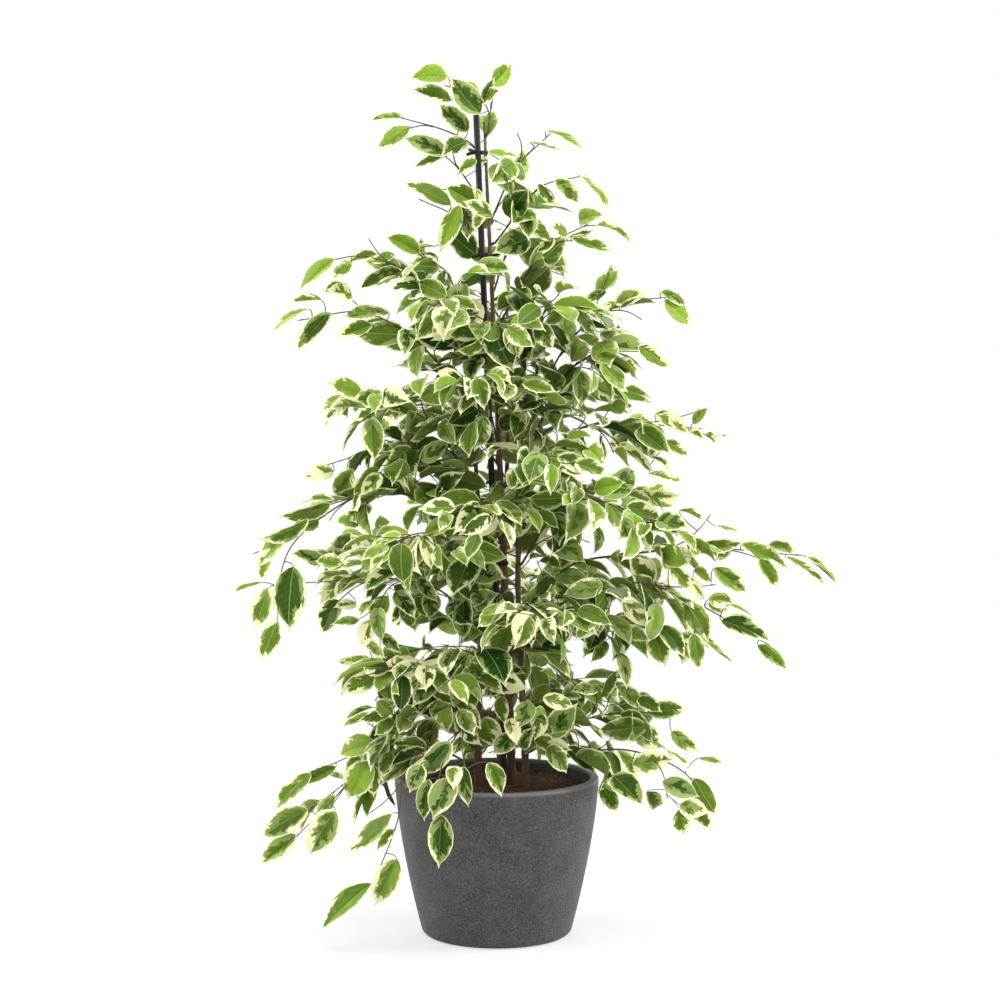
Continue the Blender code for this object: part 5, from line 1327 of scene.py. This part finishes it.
def outline_leaves(lines, rows, chance):
    """The same six for leaves placed one by one, as they show from the front.

    Each takes its depth from the branch's point that shows nearest. A leaf that shows short or wide for its
    kind leans towards the front by as much as that takes, and one that shows narrow is turned about its
    length. Its straight line from base to tip is the chord of its curl.
    """
    x0, z0, x1, z1, shown = 0.001 * np.array([row[:5] for row in rows], float).T
    cream, fresh_and_lit = np.array([row[5] for row in rows]).T
    along = np.concatenate([even_route(line, 80)[6:] for line in lines])
    place = along[np.hypot(x0[:, None] - along[:, 0], z0[:, None] - along[:, 2]).argmin(1)]
    base = np.stack([x0, place[:, 1] - 0.004, z0], 1)
    flat = np.hypot(x1 - x0, z1 - z0)
    chord = np.maximum(np.maximum(flat, shown / WIDEST_LEAF), SHORTEST_LEAF)
    depth = np.sqrt(chord ** 2 - flat ** 2) * np.where(chance.uniform(0, 1, len(rows)) < 0.8, -1, 1)
    straight = unit(np.stack([x1 - x0, depth, z1 - z0], 1))
    widths = np.maximum(shown / chord, SLIMMEST_LEAF)
    turn = np.arccos(np.clip(shown / (chord * widths), 0.45, 1.0))
    turn *= np.where(x1 > x0, -1, 1) * np.where(chance.uniform(0, 1, len(rows)) < 0.85, 1, -1)
    face = unit(FRONT - (straight @ FRONT)[:, None] * straight)
    face, across = rolled(face, np.cross(straight, face), turn)
    curl = curls(chance, 0.45, 0.35, chord.shape)
    half = 0.5 * curl[:, None]
    heading = np.cos(half) * straight + np.sin(half) * face
    face = np.cos(half) * face - np.sin(half) * straight
    length = 0.5 * chord * curl / np.sin(0.5 * curl)
    blades = leaf_blades(base, heading, face, across, length, widths, curl, chance)
    traits = np.stack([chance.integers(0, 500, len(rows)) + 0.5, cream, fresh_and_lit], 1)
    good = clear_of_pot(blades)
    lean = unit(base - place + (0.0, 0.0, 0.003))
    return [values[good] for values in (place, lean, base, heading, blades, traits)]


def dress(name, lines, thick, grown, *nodes):
    """Makes the leaves and the twigs of a branch as two pieces that stand for its CAD nodes."""
    place, lean, base, heading, blades, traits = grown
    offsets = np.arange(len(blades)) * len(CHART)
    faces = [[i + offset for i in face] for offset in offsets.tolist() for face in BLADE_FACES]
    leaves = make_piece(f"leaves_{name}", blades.reshape(-1, 3), faces, leaf_skin, sharp=32.0)
    mark_blades(leaves.data, traits)
    fit(leaves, "variegated_leaf", *nodes)
    wood = join_shapes(*twig_shape(lines, thick), stalks(place, base, heading, lean))
    fit(make_piece(f"twigs_{name}", *wood, twig_bark), "bark", *nodes)


leaf_skin = leaf_finish()
twig_bark = bark_finish("twig_bark", TWIG_DARK, TWIG_BROWN, TWIG_BROWN)

for number, bough in enumerate(BOUGHS, 1):
    chance = np.random.default_rng(500 + number)
    within, placed = OUTLINE_LEAVES.get(number, (1.0, ()))
    lines = branch_lines(bough, within, chance)
    others = len(lines) - 1
    bare_lengths = [max(BARE_SHARE * lengths_along(lines[0])[-1], BARE_LENGTH)] + [BARE_TWIG] * others
    grown = grown_leaves(lines, bare_lengths, within, chance)
    if placed:
        grown = [np.concatenate(pair) for pair in zip(grown, outline_leaves(lines, placed, chance))]
    dress(f"{number:02d}", lines, [True] + [False] * others, grown, f"leafy_branch_{number:02d}")


# --- Stem shoots -----------------------------------------------------------------------------------------
# Short leafy shoots that sprout straight from the old wood of the stems, all round and all the way up. They
# grew there after the plant was cut back, and they hide the stems and the stake.

STEM_SHOOTS = (  # lowest, highest and spacing of the shoots of each stem
    (0.235, 0.800, 0.026), (0.250, 0.740, 0.032), (0.250, 0.740, 0.032), (0.260, 0.760, 0.040))
STEM_SHOOT_LENGTHS = (0.030, 0.062)
STEM_SHOOT_POINTS = 10
TURN_BETWEEN = np.radians(137.5)


def stem_shoot_lines(stem, lowest, highest, spacing, chance):
    """Curves that leave the stem at even heights, each turned on from the last, and bend upwards."""
    heights = np.arange(lowest, highest, spacing)
    heights = heights + chance.uniform(-0.3, 0.3, len(heights)) * spacing
    t = np.linspace(0, 1, STEM_SHOOT_POINTS)[:, None]
    lines = []
    for i, height in enumerate(heights):
        middle, radius, _ = stem_at(stem, height)
        turn = i * TURN_BETWEEN + chance.uniform(-0.5, 0.5)
        away = np.array([np.cos(turn), np.sin(turn), 0.0])
        reach = chance.uniform(*STEM_SHOOT_LENGTHS)
        start = middle + away * radius * 0.5
        bend = start + reach * (0.6 * away + (0.0, 0.0, 0.15))
        end = start + reach * (0.9 * away + (0.0, 0.0, chance.uniform(0.2, 0.6)))
        lines.append(curve(start, bend, end, t))
    return lines


for stem, (lowest, highest, spacing) in enumerate(STEM_SHOOTS):
    chance = np.random.default_rng(700 + stem)
    lines = stem_shoot_lines(stem, lowest, highest, spacing, chance)
    grown = grown_leaves(lines, [BARE_TWIG] * len(lines), 1.0, chance)
    dress(f"of_stem_{stem + 1}", lines, [False] * len(lines), grown)
